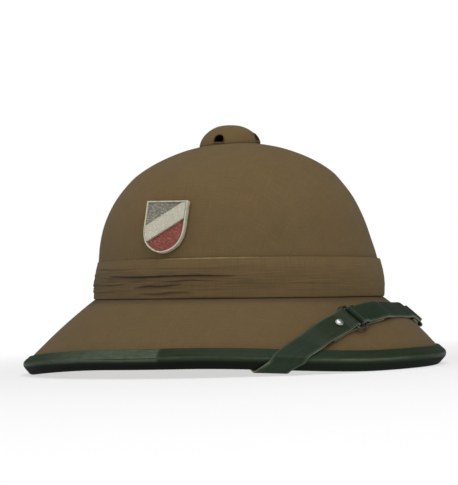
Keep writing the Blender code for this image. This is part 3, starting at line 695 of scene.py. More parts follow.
bandSize = {
    "height": 0.028, "cloth": 0.0026, "edge": 0.0016,
    "rearEdge": 0.0003,               # its upper edge lies closer at the rear
    "fold": 0.00085,                  # depth of a deep fold
    "upper": 0.0030, "under": 0.0022,   # how far a fold bulges above its crease and sinks below it
    "line": 0.0006,                   # width of the painted shade line in a crease
    "wrinkle": 0.34,                  # depth of the fine wrinkles beside a deep fold's
    "ripple": 0.00010, "thinnest": 0.0005,
    "lift": 0.0002,                   # over the brim
    "fullest": math.radians(-82.0),   # its edges stand out most here
    "mapRadius": 0.105,
    "rounds": 420, "rows": 78,
}

# folds: height share at the first angle, in the middle and at the last one, first and last angle
# in degrees, depth share
bandFolds = [(0.56, 0.55, 0.545, -130.0, -72.0, 1.0), (0.25, 0.30, 0.31, -114.0, -92.0, 0.75),
             (0.10, 0.12, 0.13, -112.0, -88.0, 0.5), (0.40, 0.42, 0.42, -104.0, -78.0, 0.35),
             (0.30, 0.32, 0.36, -205.0, -118.0, 0.5), (0.14, 0.16, 0.15, -190.0, -124.0, 0.4),
             (0.62, 0.58, 0.60, -200.0, -140.0, 0.35), (0.78, 0.76, 0.75, -160.0, -116.0, 0.25),
             (0.74, 0.73, 0.76, -108.0, -66.0, 0.16), (0.55, 0.52, 0.50, 74.0, 132.0, 0.9),
             (0.28, 0.30, 0.26, 88.0, 120.0, 0.7), (0.24, 0.20, 0.22, 128.0, 168.0, 0.8),
             (0.66, 0.62, 0.60, 150.0, 196.0, 0.5), (0.30, 0.34, 0.32, -58.0, -30.0, 0.12)]


def foldAt(angle, share):
    # bulge and painted shade of all the folds at a place
    degrees = math.degrees(angle) % 360.0
    bulge = dark = 0.0
    for first, middle, last, start, end, depth in bandFolds:
        turn = (degrees - start) % 360.0
        if turn >= end - start:
            continue
        along = turn / (end - start)
        height = curveAt([(first,), (middle,), (last,)], along)[0]
        height += 0.012 * math.sin(along * 9.0 + start)
        fade = math.sin(math.pi * along) ** 0.6 * depth
        away = (share - height) * bandSize["height"]
        if away > 0.0:
            bulge += fade * math.exp(-away / bandSize["upper"])
        else:
            bulge -= fade * math.exp(away / bandSize["under"])
        # painted shade along each crease and under each fold
        dark += fade * math.exp(-(away / bandSize["line"]) ** 2)
        dark += 0.25 * fade * math.exp(-(min(away, 0.0) / bandSize["under"]) ** 2) * (away < 0.0)
    # where it is gathered it is full of fine wrinkles, with painted shade in them
    gathered = max(math.cos(math.radians(0.75 * math.remainder(degrees - 248.0, 360.0))), 0.0)
    gathered += 0.6 * max(math.cos(math.radians(1.5 * math.remainder(degrees - 100.0, 360.0))), 0.0)
    wrinkle = noise.noise(Vector((math.cos(angle) * 4.0, math.sin(angle) * 4.0, share * 22.0)))
    wrinkle += 0.5 * noise.noise(Vector((math.cos(angle) * 9.0, math.sin(angle) * 9.0, share * 47.0)))
    middle = math.sin(math.pi * min(share * 1.15, 1.0)) if share * 1.15 < 1.0 else 0.0
    bulge += bandSize["wrinkle"] * wrinkle * gathered * middle
    dark += gathered * middle * (0.44 + 0.50 * wrinkle)
    return bulge, max(dark, 0.0)


def makeBand():
    size = bandSize
    hem = [(0.0, 0.12), (0.0, 0.45), (0.006, 0.78), (0.018, 0.95)]
    heights = [(0.03 + 0.945 * k / size["rows"], 1.0) for k in range(size["rows"] + 1)]
    heights += [(0.988, 0.93), (0.997, 0.75), (1.0, 0.45), (1.0, 0.12)]
    outline = hem + heights
    rows, darkness = [], []
    for i in range(size["rounds"]):
        angle = roundTurn(size, i)
        root, corner = rimFrame(angle)[:2]
        length = (corner - root).length
        thinner = (size["edge"] - size["rearEdge"]) * ease(-0.2, 0.7, -math.cos(angle))
        row, darkRow = [], []
        for share, fullness in outline:
            bulge, dark = foldAt(angle, share)
            thick = size["edge"] - thinner * share
            thick += (size["cloth"] - size["edge"]) * math.sin(math.pi * share ** 0.7)
            ends = ease(0.0, 0.05, share) * (1.0 - ease(0.93, 1.0, share))
            thick += size["fold"] * bulge * ends
            thick += size["ripple"] * noise.noise(Vector((angle * 6.0, share * 9.0, 3.0)))
            thick = max(thick, size["thinnest"]) * fullness
            point = stance @ crownWall(angle, round(size["height"] * share, 6), -air - thick)
            # its lower edge lies on the brim
            lowest = brimTop(angle, (thick + air) / length, size["lift"]).z
            lowest += size["height"] * share * 0.85
            point.z += (lowest - point.z) * (1.0 - ease(0.0, 0.16, share))
            row.append(point)
            side = math.exp(-((angle - 2.0 * math.pi - size["fullest"]) / 0.26) ** 2)
            # painted shade along its lower edge on the brim and under its upper edge
            hemShade = (0.75 + 0.25 * side) * (1.0 - ease(0.0, 0.035 + 0.05 * side, share))
            hemShade += 0.30 * ease(0.994, 1.0, share) * (1.0 - side)
            # and painted shade makes it darker towards the rear
            darkRow.append(min(dark * 0.85 + hemShade + 0.05 * (1.0 - math.cos(angle)), 1.0))
        for share in (1.0, 0.66, 0.33, 0.0):
            row.append(stance @ crownWall(angle, size["height"] * share, -air))
            darkRow.append(1.0)
        rows.append(row)
        darkness.append(darkRow)
    width = len(rows[0])

    def mapAt(i, j):
        share = outline[j % width][0] if j % width < len(outline) else 0.5
        return roundTurn(size, i) * size["mapRadius"], share * size["height"]

    def wearAndHighlight(i, j):
        # painted highlight on the upper hem where it stands out
        if not len(outline) - 5 <= j < len(outline) - 1:
            return 0.0
        turn = math.remainder(roundTurn(size, i), 2.0 * math.pi) - size["fullest"]
        return 0.8 * math.exp(-(turn / 0.30) ** 2) * (0.7 + 0.6 * noise.noise(rows[i][j] * 160.0))

    return skin("hatBand", rows, canvas, ["hat_band"], True, mapAt,
                {"shadeAndDust": lambda i, j: darkness[i][j], "wearAndHighlight": wearAndHighlight}, 70.0)


makeBand()
print("the band is laid round the crown")


# The vent cap, with a folded edge round each of its four arched vents

capSize = {
    "diameter": 0.048, "height": 0.0145, "wall": 0.0024,
    "back": 0.0045,                   # its centre lies this far behind the crown's
    "ventWidth": 0.0092, "ventHeight": 0.0068, "sill": 0.0012,
    "edge": 0.00055,                  # radius of the folded edge
    "seat": 0.0001,                   # between it and the crown
    "unevenness": 0.00025,
    "cutFrom": 0.006, "cutPast": 0.004,   # a vent's cut, from the middle and past the outside
    "rounds": 144, "rows": 40,
}
capOutline = [(1.0, 0.0), (0.985, 0.14), (0.92, 0.36), (0.80, 0.58), (0.60, 0.79), (0.36, 0.93),
              (0.0, 1.0)]
capMiddle = crownSize["forward"] - capSize["back"]
capTop = crownSize["height"] + capSize["height"]


def capPoint(turn, share, inset=0.0):
    radius = capSize["diameter"] / 2.0 - inset
    reach, rise = curveAt(capOutline, share)
    x, y = radius * math.cos(turn), radius * math.sin(turn)
    base = crownTopHeight(round(capMiddle + x, 7), round(y, 7)) + capSize["seat"]
    return Vector((capMiddle + x * reach, y * reach, base + (capTop - inset - base) * rise))


def ventArch():
    # outline of a vent in its own plane, from the left of its sill
    half = capSize["ventWidth"] / 2.0
    spring = capSize["ventHeight"] - half
    arch = [(-half, 0.0), (half, 0.0)]
    for k in range(25):
        rise = math.pi * k / 24.0
        arch.append((half * math.cos(rise), spring + half * math.sin(rise)))
    return arch


def onCap(turn, aside, height):
    # the point of the cap's outside that lies in front of a place of a vent's plane
    reach = capSize["diameter"] / 2.0
    base = air + crownTopHeight(round(capMiddle + reach * math.cos(turn), 7),
                                round(reach * math.sin(turn), 7))
    level = base + capSize["sill"] + height
    share = solve(lambda s: base + (capTop - base) * curveAt(capOutline, s)[1], level, 0.0, 1.0)
    radius = reach * curveAt(capOutline, share)[0]
    deep = math.sqrt(max(radius * radius - aside * aside, 0.0))
    spot = Matrix.Rotation(turn, 2) @ Vector((deep, aside))
    return Vector((capMiddle + spot.x, spot.y, level))


def makeCap():
    size = capSize
    rows = []
    outer = [k / size["rows"] for k in range(size["rows"])] + [0.995]
    inner = [k / 10.0 for k in range(10)] + [0.985]
    for inset, shares in ((size["wall"], inner[::-1]), (0.0, outer)):
        for share in shares:
            ring = []
            for k in range(size["rounds"]):
                point = capPoint(roundTurn(size, k), share, inset)
                if inset == 0.0:
                    point.z += noise.noise(point * 60.0) * size["unevenness"] * ease(0.05, 0.2, share)
                ring.append(stance @ point)
            rows.append(ring)
    arcs = [0.0] * (len(inner) + len(outer))
    for i in range(len(rows) - 1, 0, -1):
        arcs[i - 1] = arcs[i] + (rows[i][0] - rows[i - 1][0]).length

    def mapAt(i, j):
        turn = roundTurn(size, j)
        return arcs[i] * math.cos(turn), arcs[i] * math.sin(turn)

    def shadeAndDust(i, j):
        # painted shade inside the cap and round its foot on the crown
        if i < len(inner):
            return 1.0
        return 0.6 * (1.0 - ease(0.0, 0.10, outer[i - len(inner)]))

    cap = skin("ventCap", rows, canvas, ["vent_cap"], False, mapAt, {"shadeAndDust": shadeAndDust})
    for number in range(4):
        turn = math.pi / 2.0 * number
        sill = Vector((capMiddle, 0.0, onCap(turn, 0.0, 0.0).z))
        place = stance @ Matrix.Translation(sill) @ Matrix.Rotation(turn, 4, "Z")
        ends = [[place @ Vector((deep, aside, height)) for aside, height in ventArch()]
                for deep in (size["cutFrom"], size["diameter"] / 2.0 + size["cutPast"])]
        openVent(cap, ends)
        makeVentEdge(number, turn)


def openVent(cap, ends):
    # cuts one vent and leaves no cutter behind
    mesh = bpy.data.meshes.new("ventShape")
    count = len(ends[0])
    faces = [tuple(range(count)), tuple(range(2 * count - 1, count - 1, -1))]
    faces += [(k, k + count, (k + 1) % count + count, (k + 1) % count) for k in range(count)]
    mesh.from_pydata([point for ring in ends for point in ring], [], faces)
    turnFacesOut(mesh)
    cutter = bpy.data.objects.new("ventShape", mesh)
    bpy.context.scene.collection.objects.link(cutter)
    boolean = cap.modifiers.new("vent", "BOOLEAN")
    boolean.operation = "DIFFERENCE"
    boolean.object = cutter
    bpy.context.view_layer.update()
    cutMesh = bpy.data.meshes.new_from_object(cap.evaluated_get(bpy.context.evaluated_depsgraph_get()))
    cap.modifiers.clear()
    cap.data = cutMesh
    bpy.data.objects.remove(cutter, do_unlink=True)


def roundRod(name, path, radius, material, marks, sides=10):
    # a closed round rod along a path of (point, out) pairs; out is a way square to the path
    rows = []
    count = len(path)
    for k, (point, out) in enumerate(path):
        run = (path[(k + 1) % count][0] - path[k - 1][0]).normalized()
        side = run.cross(out).normalized()
        out = side.cross(run)
        ring = []
        for j in range(sides):
            turn = 2.0 * math.pi * j / sides
            ring.append(point + radius * (math.cos(turn) * out + math.sin(turn) * side))
        rows.append(ring)
    lengths = [0.0]
    for k in range(count):
        lengths.append(lengths[-1] + (path[(k + 1) % count][0] - path[k][0]).length)

    def mapAt(i, j):
        return lengths[i], 2.0 * math.pi * radius * j / sides

    skin(name, rows, material, (), True, mapAt, marks)


def makeVentEdge(number, turn):
    path = []
    arch = ventArch()
    sillSteps = [(arch[0][0] + (arch[1][0] - arch[0][0]) * k / 8.0, arch[0][1]) for k in range(1, 8)]
    for aside, height in [arch[0]] + sillSteps + arch[1:]:
        point = onCap(turn, aside, height)
        out = Vector((point.x - capMiddle, point.y, 0.006))
        path.append((stance @ point, out))
    # the folded edges are painted a little darker all over
    roundRod("ventEdge" + str(number + 1), path, capSize["edge"], canvas,
             {"shadeAndDust": lambda i, j: 0.15})


makeCap()
print("the vent cap is on")


# The chin strap, laid over the skin of the brim and its bound rim

strapSize = {
    "width": 0.0165, "leather": 0.0018,
    "bevel": 0.00035,                       # of the cut edges
    "wire": 0.0020, "loopLength": 0.0110, "loopSide": 0.0010, "loopCorner": 0.0022,
    "loopRight": 0.0675, "loopLeft": 0.0460,  # from the front centre, along the strap
    "foldAir": 0.0005, "foldTail": 0.0240, "foldClose": 0.0072,
    "tailClear": 0.0010, "tailDrop": 0.0170, "flapDrop": 0.0137,
    "skewFull": 0.0059, "skewEnd": 0.0216, "routeTrim": 0.0116,
    "rivetPlace": 0.0145, "rivetHead": 0.0062, "rivetDome": 0.0016, "rivetShank": 0.0020,
    "anchorAngle": math.radians(84.0), "anchorLevel": 0.0150, "anchorEnd": 0.0090, "anchorHalf": 0.004,
    "wallLeave": 0.0140, "wallAir": 0.0009,
    "across": 12,                           # faces across the strap
}

# middle of the strap: angle round the helmet in degrees, and the way down from the rim's outer
# corner as a share of the binding's flap, less than zero above it
strapRoute = [(-69.5, 2.90), (-66.0, 2.10), (-62.3, 1.12), (-58.6, 0.00), (-54.3, -1.00),
              (-47.7, -2.22), (-40.6, -3.26), (-33.0, -3.99), (-25.0, -4.48), (-13.0, -4.88),
              (0.0, -4.84), (11.0, -4.38), (20.5, -3.84), (30.5, -3.36), (39.5, -2.83),
              (47.7, -2.10), (54.3, -1.00), (58.6, 0.00), (62.3, 1.12), (66.0, 2.10),
              (69.5, 2.90)]
routeFront, routeSteps = 10, 200
layer = air + strapSize["leather"] / 2.0    # middle of the leather over the skin
secondLayer = layer + strapSize["leather"] + air
foldRadius = strapSize["wire"] / 2.0 + strapSize["foldAir"] + strapSize["leather"] / 2.0
barLevel = layer + foldRadius
barSpan = (strapSize["loopLength"] - strapSize["wire"]) / 2.0


def skinPoint(angle, down, lift):
    # a point over the brim and round its bound rim; down is measured from the rim's outer corner
    root, corner, out, up = rimFrame(angle)
    radius = bindingSize["corner"]
    quarter = radius * math.pi / 2.0
    faceStart = quarter - radius
    faceEnd = faceStart + rimThickness - 2.0 * radius
    if down <= -radius:
        share = 1.0 + down / (corner - root).length
        flap = bindingSize["flap"]
        step = bindingOffset * (1.0 - ease(flap, flap + strapSize["flapDrop"], -down))
        return brimTop(angle, share, lift + step)
    if down <= faceStart:
        turn = (down + radius) / radius
        center = corner - radius * out - radius * up
        return center + (radius + lift) * (math.sin(turn) * out + math.cos(turn) * up)
    if down <= faceEnd:
        return corner + lift * out - (radius + down - faceStart) * up
    if down <= faceEnd + quarter:
        turn = (down - faceEnd) / radius
        center = corner - radius * out - (rimThickness - radius) * up
        return center + (radius + lift) * (math.cos(turn) * out - math.sin(turn) * up)
    return corner - (radius + down - faceEnd - quarter) * out - (rimThickness + lift) * up


def routePlace(share):
    degrees, flaps = curveAt(strapRoute, share)
    return math.radians(degrees), flaps * bindingSize["flap"]


def measureRoute():
    # length along the route, zero at the front centre
    lengths = [0.0]
    before = skinPoint(*routePlace(0.0), strapSize["leather"])
    for k in range(1, routeSteps + 1):
        here = skinPoint(*routePlace(k / routeSteps), strapSize["leather"])
        lengths.append(lengths[-1] + (here - before).length)
        before = here
    front = lengths[round(routeSteps * routeFront / (len(strapRoute) - 1))]
    return [length - front for length in lengths]


routeLengths = measureRoute()


@lru_cache(maxsize=20000)
def routeWays(along):
    # place on the route and its direction: along the rim and down it
    for k in range(routeSteps):
        if routeLengths[k + 1] >= along or k == routeSteps - 1:
            share = (k + (along - routeLengths[k]) / (routeLengths[k + 1] - routeLengths[k])) / routeSteps
            break
    angle, down = routePlace(share)
    ahead, aheadDown = routePlace(share + 1.0 / routeSteps)
    behind, behindDown = routePlace(share - 1.0 / routeSteps)
    aside = skinPoint(angle + probe, down, 0.0) - skinPoint(angle - probe, down, 0.0)
    spin = aside.length / (2.0 * probe)
    way = Vector(((ahead - behind) * spin, aheadDown - behindDown)).normalized()
    return angle, down, way, spin


def strapPoint(along, across, lift):
    # along from the front centre to the left, across towards the rim, lift off the skin
    angle, down, way, spin = routeWays(round(along, 7))
    return skinPoint(angle - across * way.y / spin, down + across * way.x, lift)


def rimSkew(along):
    # near the rim the rows of the strap run with it, so that each bends over its corners at once
    down, way = routeWays(round(along, 7))[1:3]
    near = 1.0 - ease(strapSize["skewFull"], strapSize["skewEnd"], -down)
    return -near * way.x / way.y if near > 0.0 else 0.0


def strapFrame(along, lift):
    # axes on the strap: X along it, Y across towards the rim, Z off the skin
    origin = strapPoint(along, 0.0, lift)
    xAxis = strapPoint(along + probe, 0.0, lift) - strapPoint(along - probe, 0.0, lift)
    zAxis = origin - strapPoint(along, 0.0, lift - probe)
    return axesFrame(origin, xAxis, zAxis.cross(xAxis))


def foldLevel(away):
    rise = barLevel + foldRadius - secondLayer
    return secondLayer + rise * (1.0 - ease(0.0, strapSize["foldClose"], away))


def overTail(away):
    # height of the strap that lies over a folded tail and comes down past its end
    past = strapSize["foldTail"] + strapSize["tailClear"]
    return layer + (foldLevel(away) - layer) * (1.0 - ease(past, past + strapSize["tailDrop"], away))


def foldRound(bar, way, steps=16):
    spots = []
    for k in range(steps + 1):
        turn = math.pi * k / steps
        spots.append((bar + way * foldRadius * math.sin(turn), barLevel - foldRadius * math.cos(turn)))
    return spots


def strapRing():
    # outline across the leather, (across, height) with bevelled corners, from its lower left
    half, thick, bevel = strapSize["width"] / 2.0, strapSize["leather"] / 2.0, strapSize["bevel"]
    ring = []
    for sign in (-1.0, 1.0):
        flat = half - bevel
        for k in range(strapSize["across"] + 1):
            across = flat * (2.0 * k / strapSize["across"] - 1.0)
            ring.append((-sign * across, sign * thick))
        inHalf, inThick = half - bevel * 0.3, thick - bevel * 0.3
        edge = [(inHalf, inThick), (half, thick - bevel), (half, 0.0), (half, bevel - thick),
                (inHalf, -inThick)]
        ring += [(-sign * across, sign * height) for across, height in edge]
    return ring


ringOutline = strapRing()


def strapSection(path, index, way):
    before, after = path[max(index - 1, 0)], path[min(index + 1, len(path) - 1)]
    run, rise = after[0] - before[0], after[1] - before[1]
    size = math.hypot(run, rise) * way
    along, height = path[index]
    skew = rimSkew(along)
    ring = []
    for across, off in ringOutline:
        place = along + skew * across - rise / size * off
        ring.append(strapPoint(place, across, height + run / size * off))
    return ring


def anchorRows(side):
    # the hidden end, down the inside of the crown; side is -1 for the wearer's right
    leave = strapSize["wallLeave"]
    level, half = strapSize["anchorLevel"], strapSize["anchorHalf"]
    levels = [level + strapSize["anchorEnd"], level + half, level - half, 0.0, -leave / 2.0, -leave]
    rows = []
    middle = crownSize["wall"] + strapSize["wallAir"] + strapSize["leather"] / 2.0
    for level in levels:
        row = []
        for across, off in ringOutline:
            angle = side * (strapSize["anchorAngle"] - across / (crownSize["length"] / 2.0))
            row.append(stance @ crownWall(angle, level, middle + off))
        rows.append(row)
    return rows


def strapMarks(rows, ends):
    # fibre on the cut edges, and rubbed corners beside them
    width = len(rows[0])
    half = strapSize["width"] / 2.0

    def edge(i, j):
        across, off = ringOutline[j]
        bare = 0.75 if abs(across) > half - 0.0001 else 0.0
        patchy = 0.75 + 0.6 * noise.noise(rows[i][j] * 60.0)
        return min(max(bare * patchy, 0.0), 1.0)

    def wearAndHighlight(i, j):
        across, off = ringOutline[j]
        near = math.exp(-((half - abs(across)) / 0.0007) ** 2)
        spot = 0.5 + noise.noise(rows[i][j] * 90.0)
        ending = 0.35 if i in ends else 0.0
        return min(max(near * (0.30 + 0.5 * spot) + ending, 0.0), 1.0)

    lengths = [0.0]
    for row, following in zip(rows, rows[1:]):
        lengths.append(lengths[-1] + (following[4] - row[4]).length)
    acrosses = [0.0]
    for j in range(width):
        before, after = ringOutline[j], ringOutline[(j + 1) % width]
        acrosses.append(acrosses[-1] + math.hypot(after[0] - before[0], after[1] - before[1]))

    def mapAt(i, j):
        return lengths[i], acrosses[j]

    return mapAt, {"edge": edge, "wearAndHighlight": wearAndHighlight}


def makeSideStrap(name, solid, side, loop):
    # from inside the crown, under the brim, round the rim and up to the loop, folded round its bar
    # with its tail underneath
    way = -side
    end = (routeLengths[0] if side < 0.0 else routeLengths[-1]) + way * strapSize["routeTrim"]
    bar = loop - way * barSpan
    wrap = end
    while routeWays(round(wrap, 7))[1] > -bindingSize["corner"]:
        wrap += way * strapSize["leather"]
    path = [(end + (wrap - end) * k / 70.0, layer) for k in range(70)]
    for k in range(60):
        away = abs(bar - wrap) * (1.0 - k / 60.0)
        path.append((bar - way * away, overTail(away)))
    path += foldRound(bar, way)[::-1]
    path += [(bar - way * strapSize["foldTail"] * k / 16.0, layer) for k in range(1, 17)]
    sections = [strapSection(path, index, way) for index in range(len(path))]
    rows = anchorRows(side)
    reach = (rows[-1][6] - sections[0][6]).length
    bridge = []
    for k in range(1, 24):
        t = k / 24.0
        row = []
        for wall, meet, beyond in zip(rows[-1], sections[0], sections[3]):
            leave = Vector((0.0, 0.0, -reach * 0.5))
            arrive = (beyond - meet).normalized() * reach * 0.7
            row.append(wall * (2.0 * t ** 3 - 3.0 * t ** 2 + 1.0) + leave * (t ** 3 - 2.0 * t ** 2 + t)
                       + meet * (3.0 * t ** 2 - 2.0 * t ** 3) + arrive * (t ** 3 - t ** 2))
        bridge.append(row)
    rows = rows + bridge + sections
    mapAt, marks = strapMarks(rows, {0, len(rows) - 1})
    skin(name, rows, greenLeather, [solid], False, mapAt, marks)


def makeFrontStrap():
    # folded round the front bar of both loops, with its ends underneath
    first, last = -strapSize["loopRight"] + barSpan, strapSize["loopLeft"] - barSpan
    tail = strapSize["foldTail"]
    path = [(first + tail * k / 16.0, layer) for k in range(16, 0, -1)]
    path += foldRound(first, -1.0)
    for k in range(1, 100):
        along = first + (last - first) * k / 100.0
        path.append((along, max(overTail(along - first), overTail(last - along))))
    path += foldRound(last, 1.0)[::-1]
    path += [(last - tail * k / 16.0, layer) for k in range(1, 17)]
    rows = [strapSection(path, index, -1.0) for index in range(len(path))]
    mapAt, marks = strapMarks(rows, {0, len(rows) - 1})
    skin("frontStrap", rows, greenLeather, ["strap_front"], False, mapAt, marks)


def makeLoop(name, solid, place):
    halfY = strapSize["width"] / 2.0 + strapSize["loopSide"] + strapSize["wire"] / 2.0
    corner = strapSize["loopCorner"]
    rows = []
    for quarter in range(4):
        for k in range(9):
            turn = math.pi / 2.0 * (quarter + k / 8.0)
            signX = 1.0 if quarter in (0, 3) else -1.0
            signY = 1.0 if quarter in (0, 1) else -1.0
            ring = []
            for j in range(16):
                spin = 2.0 * math.pi * j / 16.0
                reach = corner + strapSize["wire"] / 2.0 * math.cos(spin)
                ring.append(strapPoint(place + signX * (barSpan - corner) + reach * math.cos(turn),
                                       signY * (halfY - corner) + reach * math.sin(turn),
                                       barLevel + strapSize["wire"] / 2.0 * math.sin(spin)))
            rows.append(ring)
    # more rows along the straight sides, so that they bend with the brim
    full = []
    for index, row in enumerate(rows):
        full.append(row)
        following = rows[(index + 1) % len(rows)]
        if (following[0] - row[0]).length > strapSize["wire"]:
            for k in range(1, 8):
                full.append([a.lerp(b, k / 8.0) for a, b in zip(row, following)])
    skin(name, full, loopSteel, [solid], True, lambda i, j: (i * 0.0006, j * 0.0004))


def turned(name, outline, place, material, nodes):
    # a round piece from (radius, height) points, closed at both ends
    rows = []
    for radius, height in outline:
        ring = []
        for k in range(36):
            turn = 2.0 * math.pi * k / 36.0
            ring.append(place @ Vector((radius * math.cos(turn), radius * math.sin(turn), height)))
        rows.append(ring)
    skin(name, rows, material, nodes, False, lambda i, j: (i * 0.0003, j * 0.0004), sharp=38.0)


rivetOutline = [(0.90, 0.0), (0.97, 0.03), (1.0, 0.10), (1.0, 0.20), (0.975, 0.29), (0.93, 0.36),
                (0.90, 0.42), (0.80, 0.64), (0.66, 0.82), (0.50, 0.93), (0.32, 0.985), (0.15, 0.998),
                (0.03, 1.0)]


def makeFoldRivet(name, solid, loop, way):
    # a domed head with a thin flange round it, its shank through both layers
    along = loop - way * strapSize["rivetPlace"]
    head, shank = strapSize["rivetHead"] / 2.0, strapSize["rivetShank"] / 2.0
    base = foldLevel(strapSize["rivetPlace"] - barSpan) + strapSize["leather"] / 2.0 + 2.0 * air
    outline = [(shank, air), (shank, base)]
    outline += [(head * reach, base + strapSize["rivetDome"] * rise) for reach, rise in rivetOutline]
    turned(name, outline, strapFrame(along, 0.0), steel, [solid])


makeFrontStrap()
for side, place, loop in ((-1.0, "Right", -strapSize["loopRight"]), (1.0, "Left", strapSize["loopLeft"])):
    makeSideStrap("sideStrap" + place, "strap_" + place.lower(), side, loop)
    makeLoop("loop" + place, "loop_" + place.lower(), loop)
    makeFoldRivet("rivet" + place, "rivet_" + place.lower(), loop, -side)
print("the chin strap is laid on")


# The badge, on axes of its own: X to the front, Y up, Z out of the crown

badgeSize = {
    "width": 0.0350, "height": 0.0390, "depth": 0.0034, "rim": 0.0011, "floor": 0.0014,
    "angle": math.radians(-101.0), "level": 0.0505, "slant": math.radians(31.0),
    "lean": math.radians(-2.0),                   # it was put on a little askew
    "ivoryLow": -0.0028, "ivoryHigh": 0.0087,     # edges of the middle field
    "greyTop": 0.0024, "ivoryTop": 0.0037, "redTop": 0.0021,
    "bevel": 0.00032, "fieldRounding": 0.00028,
}

# right half of the shield from its top corner to its tip, as shares
shieldHalf = [(1.0, 0.0), (1.0, 0.21), (1.0, 0.42), (0.98, 0.60), (0.90, 0.74), (0.75, 0.85),
              (0.50, 0.935), (0.22, 0.985), (0.0, 1.0)]
badgeFrame = wallFrame(badgeSize["angle"], badgeSize["level"]) @ Matrix.Translation((0.0, 0.0, air))
badgeFrame = badgeFrame @ Matrix.Rotation(badgeSize["lean"], 4, "Z")


def shieldOutline(inset):
    half, height = badgeSize["width"] / 2.0 - inset, badgeSize["height"] - 2.0 * inset
    right = []
    for k in range(33):
        reach, drop = curveAt(shieldHalf, k / 32.0)
        right.append((half * min(reach, 1.0), height * (0.5 - drop)))
    top = [(half * (k / 6.0 - 1.0), height / 2.0) for k in range(1, 12)]
    return right + [(-x, y) for x, y in reversed(right[:-1])] + top


def slantHeight(point):
    return point[1] * math.cos(badgeSize["slant"]) - point[0] * math.sin(badgeSize["slant"])


def clipOutline(points, low, high):
    # part of an outline between two slanting lines
    for limit, sign in ((low, 1.0), (high, -1.0)):
        kept = []
        for index, point in enumerate(points):
            before = points[index - 1]
            here, last = sign * (slantHeight(point) - limit), sign * (slantHeight(before) - limit)
            if (here > 0.0) != (last > 0.0):
                share = last / (last - here)
                kept.append(tuple(a + (b - a) * share for a, b in zip(before, point)))
            if here > 0.0:
                kept.append(point)
        points = kept
    return points


def makeBadge():
    size = badgeSize
    bevel = size["bevel"]
    layers = [(0.0, 0.0), (0.0, size["depth"] - bevel), (bevel * 0.35, size["depth"] - bevel * 0.25),
              (bevel, size["depth"]), (size["rim"] - bevel, size["depth"]),
              (size["rim"] - bevel * 0.3, size["depth"] - bevel * 0.3),
              (size["rim"], size["depth"] - bevel), (size["rim"], size["floor"])]
    rows = [[badgeFrame @ Vector((x, y, height)) for x, y in shieldOutline(inset)]
            for inset, height in layers]
    skin("badgeShield", rows, badgeMetal, ["shield_badge"], False,
         lambda i, j: (j * 0.001, i * 0.001), sharp=60.0)
    field = shieldOutline(size["rim"] + air)
    far = size["width"] + size["height"]
    fields = [("grey", size["ivoryHigh"] + air, far, size["greyTop"]),
              ("ivory", size["ivoryLow"], size["ivoryHigh"], size["ivoryTop"]),
              ("red", -far, size["ivoryLow"] - air, size["redTop"])]
    for color, low, high, top in fields:
        outline = clipOutline(field, low, high)
        rows = [[badgeFrame @ Vector((x, y, height)) for x, y in outline]
                for height in (size["floor"] + air, top)]
        piece = skin(color + "Field", rows, enamels[color], ["badge_" + color], False,
                     lambda i, j: (j * 0.001, i * 0.001))
        rounding = piece.modifiers.new("rounding", "BEVEL")
        rounding.width = size["fieldRounding"]
        rounding.segments = 2
        rounding.limit_method = "ANGLE"
        rounding.angle_limit = math.radians(50.0)


makeBadge()
print("the badge is set")


# The rivets inside the crown are carried over from the frame
for name in ("anchor_right", "anchor_left"):
    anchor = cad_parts[name]
    anchor.data.materials.clear()
    anchor.data.materials.append(steel)


# Floor, light and camera

studio = {
    "paper": (0.92, 0.92, 0.91),
    "paperSize": 3.0,
    "world": 0.18,
    "glow": 0.62,                    # of the paper, lit from below, and full from the second
    "glowEnds": (0.20, 0.60),        # of these distances on
    # name, degrees round from the helmet's right to its front, degrees over the floor, distance,
    # size, power
    "lights": [("keyLight", 46.0, 48.0, 1.5, 0.8, 7.4), ("topLight", 20.0, 76.0, 1.5, 1.0, 5.7),
               ("sideLight", -62.0, 38.0, 1.6, 0.8, 3.4), ("frontLight", 4.0, 28.0, 1.8, 1.0, 4.0)],
    "aim": (0.0, 0.0, 0.08),
}


def makeFloor():
    bpy.ops.mesh.primitive_circle_add(vertices=96, radius=studio["paperSize"], fill_type="NGON")
    floor = bpy.context.object
    floor.name = "paperFloor"
    material, tree, shader = startMaterial("whitePaper", studio["paper"], 0.95)
    place = node(tree, "ShaderNodeTexCoord").outputs["Object"]
    far = node(tree, "ShaderNodeVectorMath", {0: place}, operation="LENGTH").outputs["Value"]
    bright = node(tree, "ShaderNodeEmission", {"Color": (1.0, 1.0, 1.0, 1.0), "Strength": 1.0})
    glow = spread(tree, far, *studio["glowEnds"], studio["glow"], 1.0)
    mix = node(tree, "ShaderNodeMixShader", {0: glow, 1: shader.outputs[0], 2: bright.outputs[0]})
    fibres = mottle(tree, place, 900.0, 2.0)
    tree.links.new(spread(tree, fibres, 0.3, 0.7, 0.90, 1.0), shader.inputs["Roughness"])
    tree.links.new(mix.outputs[0], tree.nodes["Material Output"].inputs["Surface"])
    floor.data.materials.append(material)


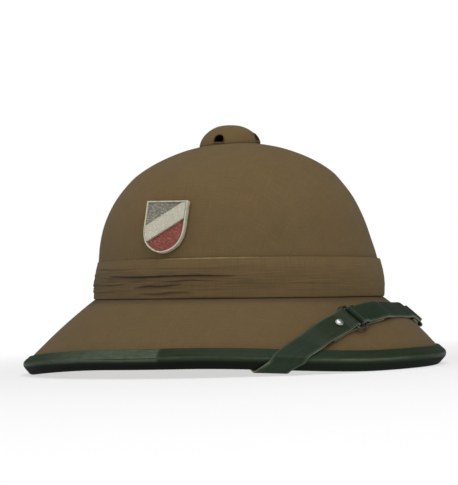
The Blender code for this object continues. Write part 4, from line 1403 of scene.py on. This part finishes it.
def makeWorld():
    world = bpy.data.worlds.new("studio")
    world.use_nodes = True
    tree = world.node_tree
    sky = tree.nodes["Background"]
    sky.inputs["Color"].default_value = (1.0, 1.0, 1.0, 1.0)
    ray = node(tree, "ShaderNodeLightPath").outputs["Is Camera Ray"]
    tree.links.new(spread(tree, ray, 0.0, 1.0, studio["world"], 1.0), sky.inputs["Strength"])
    bpy.context.scene.world = world


def makeLights():
    aim = Vector(studio["aim"])
    for name, turn, rise, distance, size, power in studio["lights"]:
        turn, rise = math.radians(turn), math.radians(rise)
        way = Vector((math.sin(turn) * math.cos(rise), -math.cos(turn) * math.cos(rise), math.sin(rise)))
        light = bpy.data.lights.new(name, "AREA")
        light.shape = "DISK"
        light.size = size
        light.energy = power
        lamp = bpy.data.objects.new(name, light)
        lamp.location = aim + way * distance
        lamp.rotation_euler = way.to_track_quat("Z", "Y").to_euler()
        bpy.context.scene.collection.objects.link(lamp)


cameraRig = {
    "turn": math.radians(22.0),      # towards the helmet's front from its right side
    "distance": 1.0,
    "roll": 0.0115,
    "lens": 94.4,
    "shiftX": 0.0020, "shiftY": 0.1115,
}


def makeCamera():
    rig = cameraRig
    back = Vector((math.sin(rig["turn"]), -math.cos(rig["turn"]), 0.0))
    right = Vector((math.cos(rig["turn"]), math.sin(rig["turn"]), 0.0))
    up = Vector((0.0, 0.0, 1.0))
    xAxis = right * math.cos(rig["roll"]) - up * math.sin(rig["roll"])
    camera = bpy.data.objects.new("camera", bpy.data.cameras.new("camera"))
    camera.matrix_world = stance @ axesFrame(back * rig["distance"], xAxis, up + right * rig["roll"])
    camera.data.lens = rig["lens"]
    camera.data.sensor_width = 36.0
    camera.data.shift_x = rig["shiftX"]
    camera.data.shift_y = rig["shiftY"]
    camera.data.clip_start = 0.01
    bpy.context.scene.collection.objects.link(camera)
    bpy.context.scene.camera = camera


makeFloor()
makeWorld()
makeLights()
makeCamera()
bpy.context.scene.view_settings.view_transform = "Standard"
print("the floor, the lights and the camera stand")
